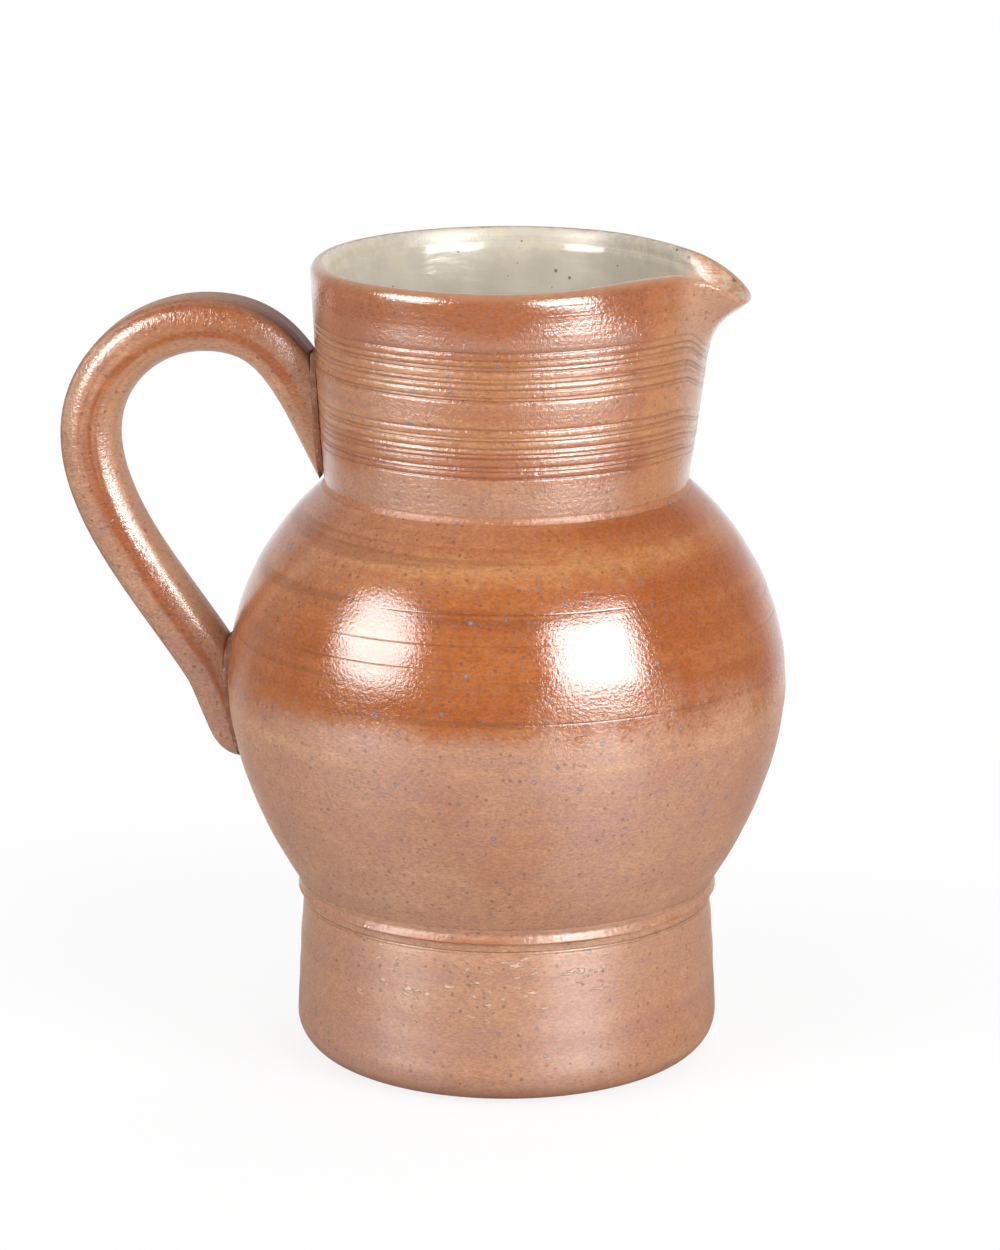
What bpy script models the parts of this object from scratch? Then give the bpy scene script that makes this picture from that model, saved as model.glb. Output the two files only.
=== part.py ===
"""A salt-glazed stoneware water pitcher, built from the pieces that a potter lutes together.

Metres, +Z up. The origin is the centre of the flat base, the pouring lip points to +X and the handle to -X.
"""

import math

import bmesh
import bpy
from mathutils import Vector

# Fit between neighbouring pieces
CLEARANCE = 0.0003

# How finely the round shapes are divided
SEGMENTS = 48
CORNER_STEPS = 4
FOOT_STEPS = 5
COLLAR_STEPS = 6
BELLY_OUTER_STEPS = 7
BELLY_INNER_STEPS = 5
NECK_OUTER_STEPS = 24
NECK_INNER_STEPS = 9
NECK_INNER_CROWDING = 1.4
RIM_STEPS = 6
ENVELOPE_STEPS = 12
HANDLE_SIDES = 20
HANDLE_STEPS = 8
SHARP_ANGLE = math.radians(40)
WELD_DISTANCE = 0.00001

# Foot
FOOT_HEIGHT = 0.0468
FOOT_FLARE = 0.0021
FOOT_FLARE_POWER = 0.7
FOOT_EDGE_WIDTH = 0.0125
FOOT_EDGE_HEIGHT = 0.0110
FOOT_WALL = 0.0085
FLOOR_THICKNESS = 0.0090
FLOOR_CORNER_RADIUS = 0.0120

# Collar round the joint of foot and belly
COLLAR_HEIGHT = 0.0076
COLLAR_LEDGE = 0.0041
COLLAR_LIP = 0.0003
COLLAR_BULGE = 0.0005

# Belly
BELLY_RADIUS = 0.0830
BELLY_FOOT_RADIUS = 0.0569
SHOULDER_RADIUS = 0.0545
BELLY_LOWER_HEIGHT = 0.0657
BELLY_UPPER_HEIGHT = 0.0601
BELLY_WALL = 0.0060
FOOT_JOINT_WALL = 0.0058
SHOULDER_WALL = 0.0075
BELLY_LOWER_POWER = 1.71
BELLY_UPPER_POWER = 2.0

# Slip ring at the shoulder
SHOULDER_SLIP_HEIGHT = 0.0014
SHOULDER_SLIP_PROUD = 0.0005

# Neck
NECK_HEIGHT = 0.0651
NECK_BASE_INSET = 0.0009
NECK_FLARE = 0.0037
NECK_FLARE_POWER = 0.7
RIM_THICKNESS = 0.0052
RIM_ROUND = 0.0034

# Combed bands on the neck
GROOVE_COUNT = 8
GROOVE_PITCH = 0.0019
GROOVE_DEPTH = 0.00045
UPPER_BAND_DROP = 0.0160
LOWER_BAND_RISE = 0.0110

# Pouring lip
LIP_ROOT = 0.0030
LIP_REACH = 0.0201
LIP_HALFWAY_DROP = 0.0022
LIP_CURL = 0.0040
LIP_SPREAD = math.radians(15.7)
LIP_BLUNTNESS = 3.3
LIP_DROP = 0.0095
LIP_DROP_SPREAD = math.radians(13.7)
LIP_DROP_BLUNTNESS = 2.9
THROAT_SWELL = 0.0037
THROAT_SPREAD = math.radians(61.7)
PINCH_DEPTH = 0.0051
PINCH_POWER = 5.6
PINCH_RISE = 0.0007
PINCH_ANGLE = math.radians(39.4)
PINCH_SPREAD = math.radians(24.7)

# Handle
HANDLE_THICKNESS = 0.0182
HANDLE_UPPER_THICKNESS = 0.0168
HANDLE_WIDTH = 0.0190
HANDLE_SQUARENESS = 2.3
CHANNEL_WIDTH = 0.0112
CHANNEL_DEPTH = 0.0009
UPPER_SEAT_RISE = 0.0160
UPPER_SLANT = math.radians(26)
UPPER_ROOT = 0.0200
ARCH_OUT = 0.0338
ARCH_RISE = 0.0284
GRIP_OUT = 0.0697
GRIP_DROP = 0.0347
LOWER_SEAT_DROP = 0.0074
LOWER_SLANT = math.radians(33)
LOWER_APPROACH = 0.0136
TONGUE_LENGTH = 0.0180
TONGUE_SINK = 0.0022
TONGUE_THICKNESS = 0.0164
TONGUE_SLANT = math.radians(35)
TONGUE_ROUND = 0.0120
TONGUE_END_SHARE = 0.98

# Control points of the handle's curves, as shares of the distance that each curve spans
RISE_PULL = 0.5
ARCH_PULL = 0.375
QUARTER_TURN_PULL = 0.5523
FALL_PULL = 0.3125
PRESS_PULL = 0.25
TONGUE_PULL = 0.5

# Slip under the handle's ends
HANDLE_SLIP_THICKNESS = 0.0015
HANDLE_SLIP_SPREAD = 0.0011
HANDLE_SLIP_MARGIN = 0.0010

# Liner glaze
GLAZE_THICKNESS = 0.0008
GLAZE_LINE = 0.0008

# Heights above the base
BELLY_BOTTOM = FOOT_HEIGHT + CLEARANCE
BELLY_MIDDLE = BELLY_BOTTOM + BELLY_LOWER_HEIGHT
BELLY_TOP = BELLY_MIDDLE + BELLY_UPPER_HEIGHT
SHOULDER_SLIP_BOTTOM = BELLY_TOP + CLEARANCE
SHOULDER_SLIP_TOP = SHOULDER_SLIP_BOTTOM + SHOULDER_SLIP_HEIGHT
NECK_BOTTOM = SHOULDER_SLIP_TOP + CLEARANCE
RIM_TOP = NECK_BOTTOM + NECK_HEIGHT
RIM_SHOULDER = RIM_TOP - RIM_ROUND
GLAZE_TOP = RIM_SHOULDER - GLAZE_LINE
LIP_BOTTOM = NECK_BOTTOM + LIP_ROOT
LIP_HALFWAY = RIM_TOP - LIP_HALFWAY_DROP

# Radii that follow from the sizes above
FOOT_TOP_RADIUS = BELLY_FOOT_RADIUS + COLLAR_LEDGE
FOOT_RADIUS = FOOT_TOP_RADIUS + FOOT_FLARE
FOOT_BORE = BELLY_FOOT_RADIUS - FOOT_JOINT_WALL
SHOULDER_BORE = SHOULDER_RADIUS - SHOULDER_WALL
NECK_BASE_RADIUS = SHOULDER_RADIUS - NECK_BASE_INSET
RIM_RADIUS = NECK_BASE_RADIUS + NECK_FLARE
RIM_BORE = RIM_RADIUS - RIM_THICKNESS


def blend(low, high, share):
    return low + (high - low) * share


def steps(count):
    return [index / count for index in range(count + 1)]


def bulge(height, middle_radius, end_radius, end_height, power):
    """Radius of a rounded wall, widest at height 0, that comes in to end_radius at end_height."""
    reach = end_height / (1 - (end_radius / middle_radius) ** power) ** (1 / power)
    return middle_radius * (1 - (height / reach) ** power) ** (1 / power)


def belly_wall(z, middle_radius, top_radius, bottom_radius):
    if z > BELLY_MIDDLE:
        return bulge(z - BELLY_MIDDLE, middle_radius, top_radius, BELLY_UPPER_HEIGHT, BELLY_UPPER_POWER)
    return bulge(BELLY_MIDDLE - z, middle_radius, bottom_radius, BELLY_LOWER_HEIGHT, BELLY_LOWER_POWER)


def belly_outside(z):
    return belly_wall(z, BELLY_RADIUS, SHOULDER_RADIUS, BELLY_FOOT_RADIUS)


def belly_inside(z):
    return belly_wall(z, BELLY_RADIUS - BELLY_WALL, SHOULDER_BORE, FOOT_BORE)


def belly_heights(wall_steps):
    """Heights from the belly's top to its bottom, closer together where the wall turns in."""
    upper = [math.cos(share * math.pi / 2) for share in steps(wall_steps)]
    lower = [math.sin(share * math.pi / 2) for share in steps(wall_steps)[1:]]
    heights = [BELLY_MIDDLE + BELLY_UPPER_HEIGHT * share for share in upper]
    return heights + [BELLY_MIDDLE - BELLY_LOWER_HEIGHT * share for share in lower]


def neck_outside(z):
    """Radius of the neck before the bands are combed into it."""
    share = max(0.0, (z - NECK_BOTTOM) / (RIM_SHOULDER - NECK_BOTTOM))
    return NECK_BASE_RADIUS + NECK_FLARE * share ** NECK_FLARE_POWER


def neck_inside(z):
    return blend(SHOULDER_BORE, RIM_BORE, (z - NECK_BOTTOM) / (RIM_SHOULDER - NECK_BOTTOM))


def vessel_outside(z):
    return neck_outside(z) if z > BELLY_TOP else belly_outside(z)


def groove_heights():
    """Heights of the bottoms of the combed grooves."""
    into_band = [(index + 0.5) * GROOVE_PITCH for index in range(GROOVE_COUNT)]
    upper = [RIM_TOP - UPPER_BAND_DROP - distance for distance in into_band]
    return upper + [NECK_BOTTOM + LOWER_BAND_RISE + distance for distance in into_band]


def groove_depth(z):
    """A groove is a V one pitch wide, so the ridge between two grooves keeps the neck's radius."""
    nearest = min(abs(z - height) for height in groove_heights())
    return GROOVE_DEPTH * max(0.0, 1 - 2 * nearest / GROOVE_PITCH)


def spread_heights(heights, least):
    """Sorted from top to bottom, without those that nearly coincide."""
    kept = []
    for height in sorted(heights, reverse=True):
        if not kept or kept[-1] - height > least:
            kept.append(height)
    return kept


def neck_outer_profile():
    """From below the rim down to the neck's lower edge."""
    plain = [blend(RIM_SHOULDER, NECK_BOTTOM, share) for share in steps(NECK_OUTER_STEPS)]
    bands = []
    for height in groove_heights():
        bands += [height + GROOVE_PITCH / 2, height, height - GROOVE_PITCH / 2]
    clear = [z for z in plain[1:-1] if min(abs(z - band) for band in bands) > GROOVE_PITCH]
    between = [z for z in clear + bands if NECK_BOTTOM < z < RIM_SHOULDER]
    heights = spread_heights([RIM_SHOULDER, NECK_BOTTOM] + between, GROOVE_PITCH / 4)
    return [(neck_outside(z) - groove_depth(z), z) for z in heights]


def rim_profile():
    """The half-round rim, from inside to outside without its two ends."""
    middle = (RIM_RADIUS + RIM_BORE) / 2
    points = []
    for share in steps(RIM_STEPS)[1:-1]:
        angle = math.pi * (1 - share)
        across = middle + RIM_THICKNESS / 2 * math.cos(angle)
        points.append((across, RIM_SHOULDER + RIM_ROUND * math.sin(angle)))
    return points


def neck_inner_profile():
    """From the rim's inner edge down to the neck's lower edge, with points closer together near the rim."""
    shares = [share**NECK_INNER_CROWDING for share in steps(NECK_INNER_STEPS)]
    heights = [blend(GLAZE_TOP, LIP_BOTTOM, share) for share in shares]
    return [(neck_inside(z), z) for z in [RIM_SHOULDER, *heights, NECK_BOTTOM]]


def belly_inner_profile():
    return [(belly_inside(z), z) for z in belly_heights(BELLY_INNER_STEPS)]


def foot_inner_profile():
    """From the foot's upper edge down its inside and over the floor to the axis."""
    wall_radius = FOOT_RADIUS - FOOT_WALL
    corner_radius = wall_radius - FLOOR_CORNER_RADIUS
    corner_height = FLOOR_THICKNESS + FLOOR_CORNER_RADIUS
    points = [(FOOT_BORE, FOOT_HEIGHT)]
    for share in steps(CORNER_STEPS):
        angle = share * math.pi / 2
        across = corner_radius + FLOOR_CORNER_RADIUS * math.cos(angle)
        points.append((across, corner_height - FLOOR_CORNER_RADIUS * math.sin(angle)))
    points.append((0.0, FLOOR_THICKNESS))
    return points


def inset(profile, distance):
    """A profile moved towards the hollow that it encloses, for a profile that runs down and then in."""
    moved = []
    for index, (radius, z) in enumerate(profile):
        before = Vector(profile[max(index - 1, 0)])
        after = Vector(profile[min(index + 1, len(profile) - 1)])
        along = (after - before).normalized()
        if index == 0:
            along = Vector((0.0, -1.0))
        if radius == 0:
            along = Vector((-1.0, 0.0))
        moved.append((radius + along.y * distance, z - along.x * distance))
    return moved


def pull_lip(point):
    """Moves a point of the neck or of its glaze as the pouring lip is pulled out of the rim."""
    share = (point.z - LIP_BOTTOM) / (RIM_TOP - LIP_BOTTOM)
    leaning = 0.5 + 0.5 * math.tanh((point.z - LIP_HALFWAY) / (2 * LIP_CURL))
    radius = math.hypot(point.x, point.y)
    if share <= 0 or radius == 0:
        return point
    angle = math.atan2(point.y, point.x)
    lip = math.exp(-(abs(angle / LIP_SPREAD) ** LIP_BLUNTNESS))
    drop = math.exp(-(abs(angle / LIP_DROP_SPREAD) ** LIP_DROP_BLUNTNESS))
    throat = math.exp(-((angle / THROAT_SPREAD) ** 2))
    pinch = math.exp(-(((abs(angle) - PINCH_ANGLE) / PINCH_SPREAD) ** 2))
    out = LIP_REACH * lip * leaning + THROAT_SWELL * throat * share
    out -= PINCH_DEPTH * pinch * share**PINCH_POWER
    up = PINCH_RISE * pinch * share - LIP_DROP * drop * share
    scale = (radius + out) / radius
    return Vector((point.x * scale, point.y * scale, point.z + up))


def material(name, colour, roughness):
    made = bpy.data.materials.new(name)
    made.use_nodes = True
    shader = made.node_tree.nodes["Principled BSDF"]
    shader.inputs["Base Color"].default_value = (*colour, 1.0)
    shader.inputs["Roughness"].default_value = roughness
    shader.inputs["Metallic"].default_value = 0.0
    return made


def add_object(name, mesh_builder, finish=None):
    """Makes the object of a finished bmesh. Without a finish it is a hidden cutter."""
    bmesh.ops.recalc_face_normals(mesh_builder, faces=mesh_builder.faces)
    mesh = bpy.data.meshes.new(name)
    mesh_builder.to_mesh(mesh)
    mesh_builder.free()
    mesh.shade_smooth()
    mesh.set_sharp_from_angle(angle=SHARP_ANGLE)
    made = bpy.data.objects.new(name, mesh)
    bpy.context.scene.collection.objects.link(made)
    if finish is None:
        made.hide_render = True
        made.display_type = "WIRE"
    else:
        mesh.materials.append(finish)
    return made


def turned(name, profile, finish=None, closed=True, shape=None):
    """Spins a profile of (radius, height) points. An open profile has both its ends on the axis."""
    builder = bmesh.new()
    corners = [builder.verts.new((radius, 0.0, z)) for radius, z in profile]
    pairs = list(zip(corners, corners[1:]))
    if closed:
        pairs.append((corners[-1], corners[0]))
    edges = [builder.edges.new(pair) for pair in pairs]
    bmesh.ops.spin(
        builder,
        geom=corners + edges,
        cent=(0.0, 0.0, 0.0),
        axis=(0.0, 0.0, 1.0),
        angle=2 * math.pi,
        steps=SEGMENTS,
        use_merge=True,
    )
    bmesh.ops.remove_doubles(builder, verts=builder.verts, dist=WELD_DISTANCE)
    if shape:
        for vertex in builder.verts:
            vertex.co = shape(vertex.co)
    return add_object(name, builder, finish)


def make_foot(finish):
    outside = []
    for share in steps(FOOT_STEPS):
        across = blend(FOOT_TOP_RADIUS, FOOT_RADIUS, share**FOOT_FLARE_POWER)
        outside.append((across, blend(FOOT_HEIGHT, FOOT_EDGE_HEIGHT, share)))
    for share in steps(FOOT_STEPS)[1:]:
        angle = share * math.pi / 2
        across = FOOT_RADIUS - FOOT_EDGE_WIDTH * (1 - math.cos(angle))
        outside.append((across, FOOT_EDGE_HEIGHT * (1 - math.sin(angle))))
    inside = foot_inner_profile()
    return turned("foot", inside[::-1] + outside + [(0.0, 0.0)], finish, closed=False)


def make_collar(finish):
    """Sits on the foot's upper edge and fills the notch under the belly."""
    bottom = FOOT_HEIGHT + CLEARANCE
    top = bottom + COLLAR_HEIGHT
    against_belly = []
    for share in steps(CORNER_STEPS):
        z = blend(bottom, top, share)
        against_belly.append((belly_outside(z) + CLEARANCE, z))
    top_radius = against_belly[-1][0] + COLLAR_LIP
    outside = []
    for share in steps(COLLAR_STEPS):
        swell = COLLAR_BULGE * math.sin(math.pi * share)
        outside.append((blend(top_radius, FOOT_TOP_RADIUS, share) + swell, blend(top, bottom, share)))
    return turned("foot_collar", against_belly + outside, finish)


def make_belly(finish):
    outside = [(belly_outside(z), z) for z in belly_heights(BELLY_OUTER_STEPS)]
    return turned("belly", outside + belly_inner_profile()[::-1], finish)


def make_shoulder_slip(finish):
    middle = (SHOULDER_SLIP_TOP + SHOULDER_SLIP_BOTTOM) / 2
    outside = []
    for share in steps(CORNER_STEPS):
        angle = math.pi * (0.5 - share)
        across = blend(NECK_BASE_RADIUS, SHOULDER_RADIUS + SHOULDER_SLIP_PROUD, math.cos(angle))
        outside.append((across, middle + SHOULDER_SLIP_HEIGHT / 2 * math.sin(angle)))
    inside = [(SHOULDER_BORE, SHOULDER_SLIP_BOTTOM), (SHOULDER_BORE, SHOULDER_SLIP_TOP)]
    return turned("shoulder_slip", outside + inside, finish)


def make_neck(finish):
    profile = rim_profile() + neck_outer_profile() + neck_inner_profile()[::-1]
    return turned("neck", profile, finish, shape=pull_lip)


def make_glaze(finish):
    wall = neck_inner_profile()[1:] + belly_inner_profile() + foot_inner_profile()
    against_clay = inset(wall, CLEARANCE)
    face = inset(wall, CLEARANCE + GLAZE_THICKNESS)
    return turned("inner_glaze", against_clay[::-1] + face, finish, closed=False, shape=pull_lip)


def curve(start, start_pull, end_pull, end):
    """Points along a cubic curve with these control points, with its start and without its end."""
    points = []
    for share in steps(HANDLE_STEPS)[:-1]:
        rest = 1 - share
        first = start * rest**3 + start_pull * (3 * rest**2 * share)
        points.append(first + end_pull * (3 * rest * share**2) + end * share**3)
    return points


def handle_path():
    """The handle's centre line from the neck to the tongue's end, as (distance from the axis, height)."""
    seat_height = NECK_BOTTOM + UPPER_SEAT_RISE
    neck_radius = neck_outside(seat_height)
    seat = Vector((neck_radius, seat_height))
    rising = Vector((math.sin(UPPER_SLANT), math.cos(UPPER_SLANT)))
    arch = Vector((neck_radius + ARCH_OUT, seat_height + ARCH_RISE))
    grip = Vector((neck_radius + GRIP_OUT, arch.y - GRIP_DROP))
    lower_height = BELLY_MIDDLE - LOWER_SEAT_DROP
    lower = Vector((belly_outside(lower_height), lower_height))
    falling = Vector((-math.sin(LOWER_SLANT), -math.cos(LOWER_SLANT)))
    bend = lower - falling * LOWER_APPROACH
    tongue_height = lower_height - TONGUE_LENGTH
    tongue = Vector((belly_outside(tongue_height) - TONGUE_SINK, tongue_height))
    tongue_rising = Vector((math.sin(TONGUE_SLANT), math.cos(TONGUE_SLANT)))
    upright = Vector((0.0, 1.0))
    outward = Vector((1.0, 0.0))

    rise = (arch - seat).length
    turn_out = outward * (QUARTER_TURN_PULL * (grip.x - arch.x))
    turn_down = upright * (QUARTER_TURN_PULL * GRIP_DROP)
    fall = FALL_PULL * (grip - bend).length
    press = (bend - tongue).length
    path = [seat - rising * UPPER_ROOT, seat - rising * (UPPER_ROOT / 2)]
    path += curve(seat, seat + rising * (RISE_PULL * rise), arch - outward * (ARCH_PULL * rise), arch)
    path += curve(arch, arch + turn_out, grip + turn_down, grip)
    path += curve(grip, grip - upright * fall, bend - falling * fall, bend)
    tongue_pull = tongue + tongue_rising * (TONGUE_PULL * press)
    path += curve(bend, bend + falling * (PRESS_PULL * press), tongue_pull, tongue)
    return path + [tongue]


def path_lengths(path):
    lengths = [0.0]
    for before, after in zip(path, path[1:]):
        lengths.append(lengths[-1] + (after - before).length)
    return lengths


def handle_section(thickness, width):
    """One closed outline as (across, outward) points: a squarish oval with a channel in its outer face."""
    points = []
    for index in range(HANDLE_SIDES):
        angle = 2 * math.pi * (index + 0.5) / HANDLE_SIDES
        side = math.copysign(abs(math.cos(angle)) ** (2 / HANDLE_SQUARENESS), math.cos(angle))
        rise = math.copysign(abs(math.sin(angle)) ** (2 / HANDLE_SQUARENESS), math.sin(angle))
        across = width / 2 * side
        outward = thickness / 2 * rise
        if rise > 0:
            outward -= CHANNEL_DEPTH * max(0.0, 1 - (2 * across / CHANNEL_WIDTH) ** 2)
        points.append((across, outward))
    return points


def handle_sweep(swell):
    """The strap as a bmesh, with every section grown outward by swell."""
    path = handle_path()
    lengths = path_lengths(path)
    total = lengths[-1]
    press_length = LOWER_APPROACH + TONGUE_LENGTH
    builder = bmesh.new()
    rings = []
    for index, centre in enumerate(path):
        before = path[max(index - 1, 0)]
        after = path[min(index + 1, len(path) - 1)]
        along = (after - before).normalized()
        outer = Vector((-along.y, along.x))
        to_end = total - lengths[index]
        pressed = max(0.0, 1 - to_end / press_length)
        thickness = blend(HANDLE_UPPER_THICKNESS, HANDLE_THICKNESS, min(1.0, 2 * lengths[index] / total))
        thickness = blend(thickness, TONGUE_THICKNESS, min(1.0, 2 * pressed))
        into_end = max(0.0, 1 - to_end / TONGUE_ROUND)
        shrink = math.sqrt(1 - min(into_end, TONGUE_END_SHARE) ** 2)
        section = handle_section(thickness * shrink + 2 * swell, HANDLE_WIDTH * shrink + 2 * swell)
        ring = []
        for across, outward in section:
            place = centre + outer * outward
            ring.append(builder.verts.new((-place.x, across, place.y)))
        rings.append(ring)
    for first, second in zip(rings, rings[1:]):
        for index in range(HANDLE_SIDES):
            following = (index + 1) % HANDLE_SIDES
            builder.faces.new((first[index], first[following], second[following], second[index]))
    builder.faces.new(rings[0][::-1])
    builder.faces.new(rings[-1])
    return builder


def cut(target, cutter, operation):
    change = target.modifiers.new(cutter.name, "BOOLEAN")
    change.operation = operation
    change.object = cutter
    change.solver = "EXACT"


def make_handle(finish):
    """The strap, cut off where its ends meet the slip on the neck and on the belly."""
    seat = 2 * CLEARANCE + HANDLE_SLIP_THICKNESS
    heights = [blend(RIM_TOP, BELLY_TOP, share) for share in steps(ENVELOPE_STEPS)]
    heights += belly_heights(BELLY_OUTER_STEPS)
    envelope = [(vessel_outside(z) + seat, z) for z in spread_heights(heights, CLEARANCE)]
    profile = [(0.0, RIM_TOP)] + envelope + [(0.0, BELLY_BOTTOM)]
    cutter = turned("vessel_envelope", profile, closed=False)
    handle = add_object("handle", handle_sweep(0.0), finish)
    cut(handle, cutter, "DIFFERENCE")
    return handle


def make_handle_slip(name, heights, finish):
    """The pad of slip between one end of the handle and the wall beside these heights."""
    near = [(vessel_outside(z) + CLEARANCE, z) for z in heights]
    far = [(radius + HANDLE_SLIP_THICKNESS, z) for radius, z in near]
    layer = turned(name + "_layer", far + near[::-1])
    pad = add_object(name, handle_sweep(HANDLE_SLIP_SPREAD), finish)
    cut(pad, layer, "INTERSECT")
    return pad


def clear_scene():
    for existing in list(bpy.data.objects):
        bpy.data.objects.remove(existing, do_unlink=True)


def build():
    clear_scene()
    foot_clay = material("tan_salt_glaze", (0.47, 0.24, 0.12), 0.45)
    belly_clay = material("orange_salt_glaze", (0.45, 0.19, 0.07), 0.28)
    neck_clay = material("combed_salt_glaze", (0.46, 0.20, 0.08), 0.28)
    handle_clay = material("pulled_salt_glaze", (0.48, 0.23, 0.11), 0.32)
    collar_clay = material("collar_salt_glaze", (0.46, 0.23, 0.11), 0.38)
    slip = material("pale_slip", (0.50, 0.30, 0.18), 0.45)
    liner = material("grey_liner_glaze", (0.52, 0.49, 0.40), 0.15)

    make_foot(foot_clay)
    make_collar(collar_clay)
    make_belly(belly_clay)
    make_shoulder_slip(slip)
    make_neck(neck_clay)
    make_glaze(liner)
    make_handle(handle_clay)
    neck_low = NECK_BOTTOM + HANDLE_SLIP_MARGIN
    neck_high = NECK_BOTTOM + UPPER_SEAT_RISE + ARCH_RISE
    upper_heights = [blend(neck_high, neck_low, share) for share in steps(ENVELOPE_STEPS)]
    lower_high = BELLY_MIDDLE + BELLY_UPPER_HEIGHT / 2
    lower_heights = [z for z in belly_heights(BELLY_OUTER_STEPS)[:-1] if z < lower_high]
    make_handle_slip("handle_upper_slip", upper_heights, slip)
    make_handle_slip("handle_lower_slip", lower_heights, slip)


build()
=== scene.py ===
"""The look of a salt-glazed stoneware water pitcher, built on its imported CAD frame.

Metres, +Z up, in the frame's own axes: the pouring lip points to +X and the handle to -X.
"""

import math

import bmesh
import bpy
import numpy as np
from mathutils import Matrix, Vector


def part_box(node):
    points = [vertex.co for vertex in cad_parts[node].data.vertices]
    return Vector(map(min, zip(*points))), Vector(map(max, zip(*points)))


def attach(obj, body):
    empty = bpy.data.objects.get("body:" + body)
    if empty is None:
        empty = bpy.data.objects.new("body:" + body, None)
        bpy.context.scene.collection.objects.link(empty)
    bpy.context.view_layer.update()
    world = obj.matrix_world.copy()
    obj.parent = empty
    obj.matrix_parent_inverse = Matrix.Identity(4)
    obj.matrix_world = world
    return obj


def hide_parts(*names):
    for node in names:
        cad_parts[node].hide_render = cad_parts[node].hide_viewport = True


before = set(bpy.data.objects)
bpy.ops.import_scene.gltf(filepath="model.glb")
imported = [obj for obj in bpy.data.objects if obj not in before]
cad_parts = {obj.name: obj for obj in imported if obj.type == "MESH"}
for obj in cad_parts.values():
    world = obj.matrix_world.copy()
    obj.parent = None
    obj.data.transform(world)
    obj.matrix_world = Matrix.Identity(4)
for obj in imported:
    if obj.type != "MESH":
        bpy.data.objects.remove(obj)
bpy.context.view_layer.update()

FULL_TURN = 2 * math.pi

# Sizes read from the frame
FOOT_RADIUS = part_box("foot")[1].x
FOOT_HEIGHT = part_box("foot")[1].z
COLLAR_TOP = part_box("foot_collar")[1].z
BELLY_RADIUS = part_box("belly")[1].x
BELLY_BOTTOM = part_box("belly")[0].z
BELLY_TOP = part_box("belly")[1].z
NECK_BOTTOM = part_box("neck")[0].z
RIM_RADIUS = -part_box("neck")[0].x

# Foot
FOOT_FLARE = 0.0021
FOOT_FLARE_POWER = 0.7
FOOT_EDGE_WIDTH = 0.0125
FOOT_EDGE_HEIGHT = 0.0110
FOOT_WALL = 0.0085
FLOOR_THICKNESS = 0.0090
FLOOR_CORNER_RADIUS = 0.0120
FOOT_TOP_RADIUS = FOOT_RADIUS - FOOT_FLARE

# Depth, pitch and phase of the uneven rings that throwing leaves, and how they fade out at a piece's ends
FOOT_RIDGES = (0.00022, 0.021, 0.4)
COLLAR_RIDGES = (0.00016, 0.013, 1.1)
BELLY_RIDGES = (0.00020, 0.027, 2.0)
NECK_RIDGES = (0.00018, 0.017, 3.1)
RIDGE_FADE = 0.004
SHORT_RIDGE_FADE = 0.002

# Collar round the joint of foot and belly, with places and widths as shares of its fall
COLLAR_EDGE = 0.52
COLLAR_PROUD = 0.00085
COLLAR_POWER = 1.6
COLLAR_STEP = 0.045
HOLLOW_DEPTH = 0.00045
HOLLOW_PLACE = 0.22
HOLLOW_WIDTH = 0.12
HOLLOW_START = 0.1
BEAD_HEIGHT = 0.00015
BEAD_PLACE = COLLAR_EDGE - 0.03
BEAD_WIDTH = 0.06
WORN_PLACE = COLLAR_EDGE - 0.04
WORN_WIDTH = 0.11
CREASE_PLACE = 0.90
CREASE_DEPTH = 0.00030
CREASE_WIDTH = 0.028

# Belly
BELLY_FOOT_RADIUS = 0.0569
SHOULDER_RADIUS = 0.0545
BELLY_MIDDLE = BELLY_BOTTOM + 0.0657
BELLY_WALL = 0.0060
FOOT_JOINT_WALL = 0.0058
SHOULDER_WALL = 0.0075
BELLY_LOWER_POWER = 1.71
BELLY_UPPER_POWER = 2.0
FOOT_BORE = BELLY_FOOT_RADIUS - FOOT_JOINT_WALL
SHOULDER_BORE = SHOULDER_RADIUS - SHOULDER_WALL
DIP_LINE = 0.1163
THROWING_LINES = ((0.1513, -80), (0.1431, -100), (0.1364, -115), (0.1219, -58))
THROWING_LINE_DEPTH = 0.00010
THROWING_LINE_WIDTH = 0.00016
THROWING_LINE_WAVER = 0.0002

# Neck
RIM_TOP = NECK_BOTTOM + 0.0650
RIM_THICKNESS = 0.0052
RIM_ROUND = 0.0034
NECK_FLARE = 0.0037
NECK_FLARE_POWER = 0.7
NECK_BASE_RADIUS = RIM_RADIUS - NECK_FLARE
RIM_SHOULDER = RIM_TOP - RIM_ROUND
RIM_BORE = RIM_RADIUS - RIM_THICKNESS

# Combed bands
GROOVE_COUNT = 9
GROOVE_PITCH = 0.00175
GROOVE_DEPTH = 0.00044
GROOVE_WIDTH = 0.00036
GROOVE_SHIFT = 0.22 * GROOVE_PITCH
GROOVE_WAVER = 0.05 * GROOVE_PITCH
GROOVE_WIDTH_SPREAD = 0.25
GROOVE_DEPTH_SPREAD = 0.18
BAND_HEIGHT = GROOVE_COUNT * GROOVE_PITCH
BAND_EDGE = 0.0006
UPPER_BAND_BOTTOM = RIM_TOP - 0.0320
LOWER_BAND_BOTTOM = NECK_BOTTOM + 0.0108
BAND_BOTTOMS = (LOWER_BAND_BOTTOM, UPPER_BAND_BOTTOM)

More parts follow.
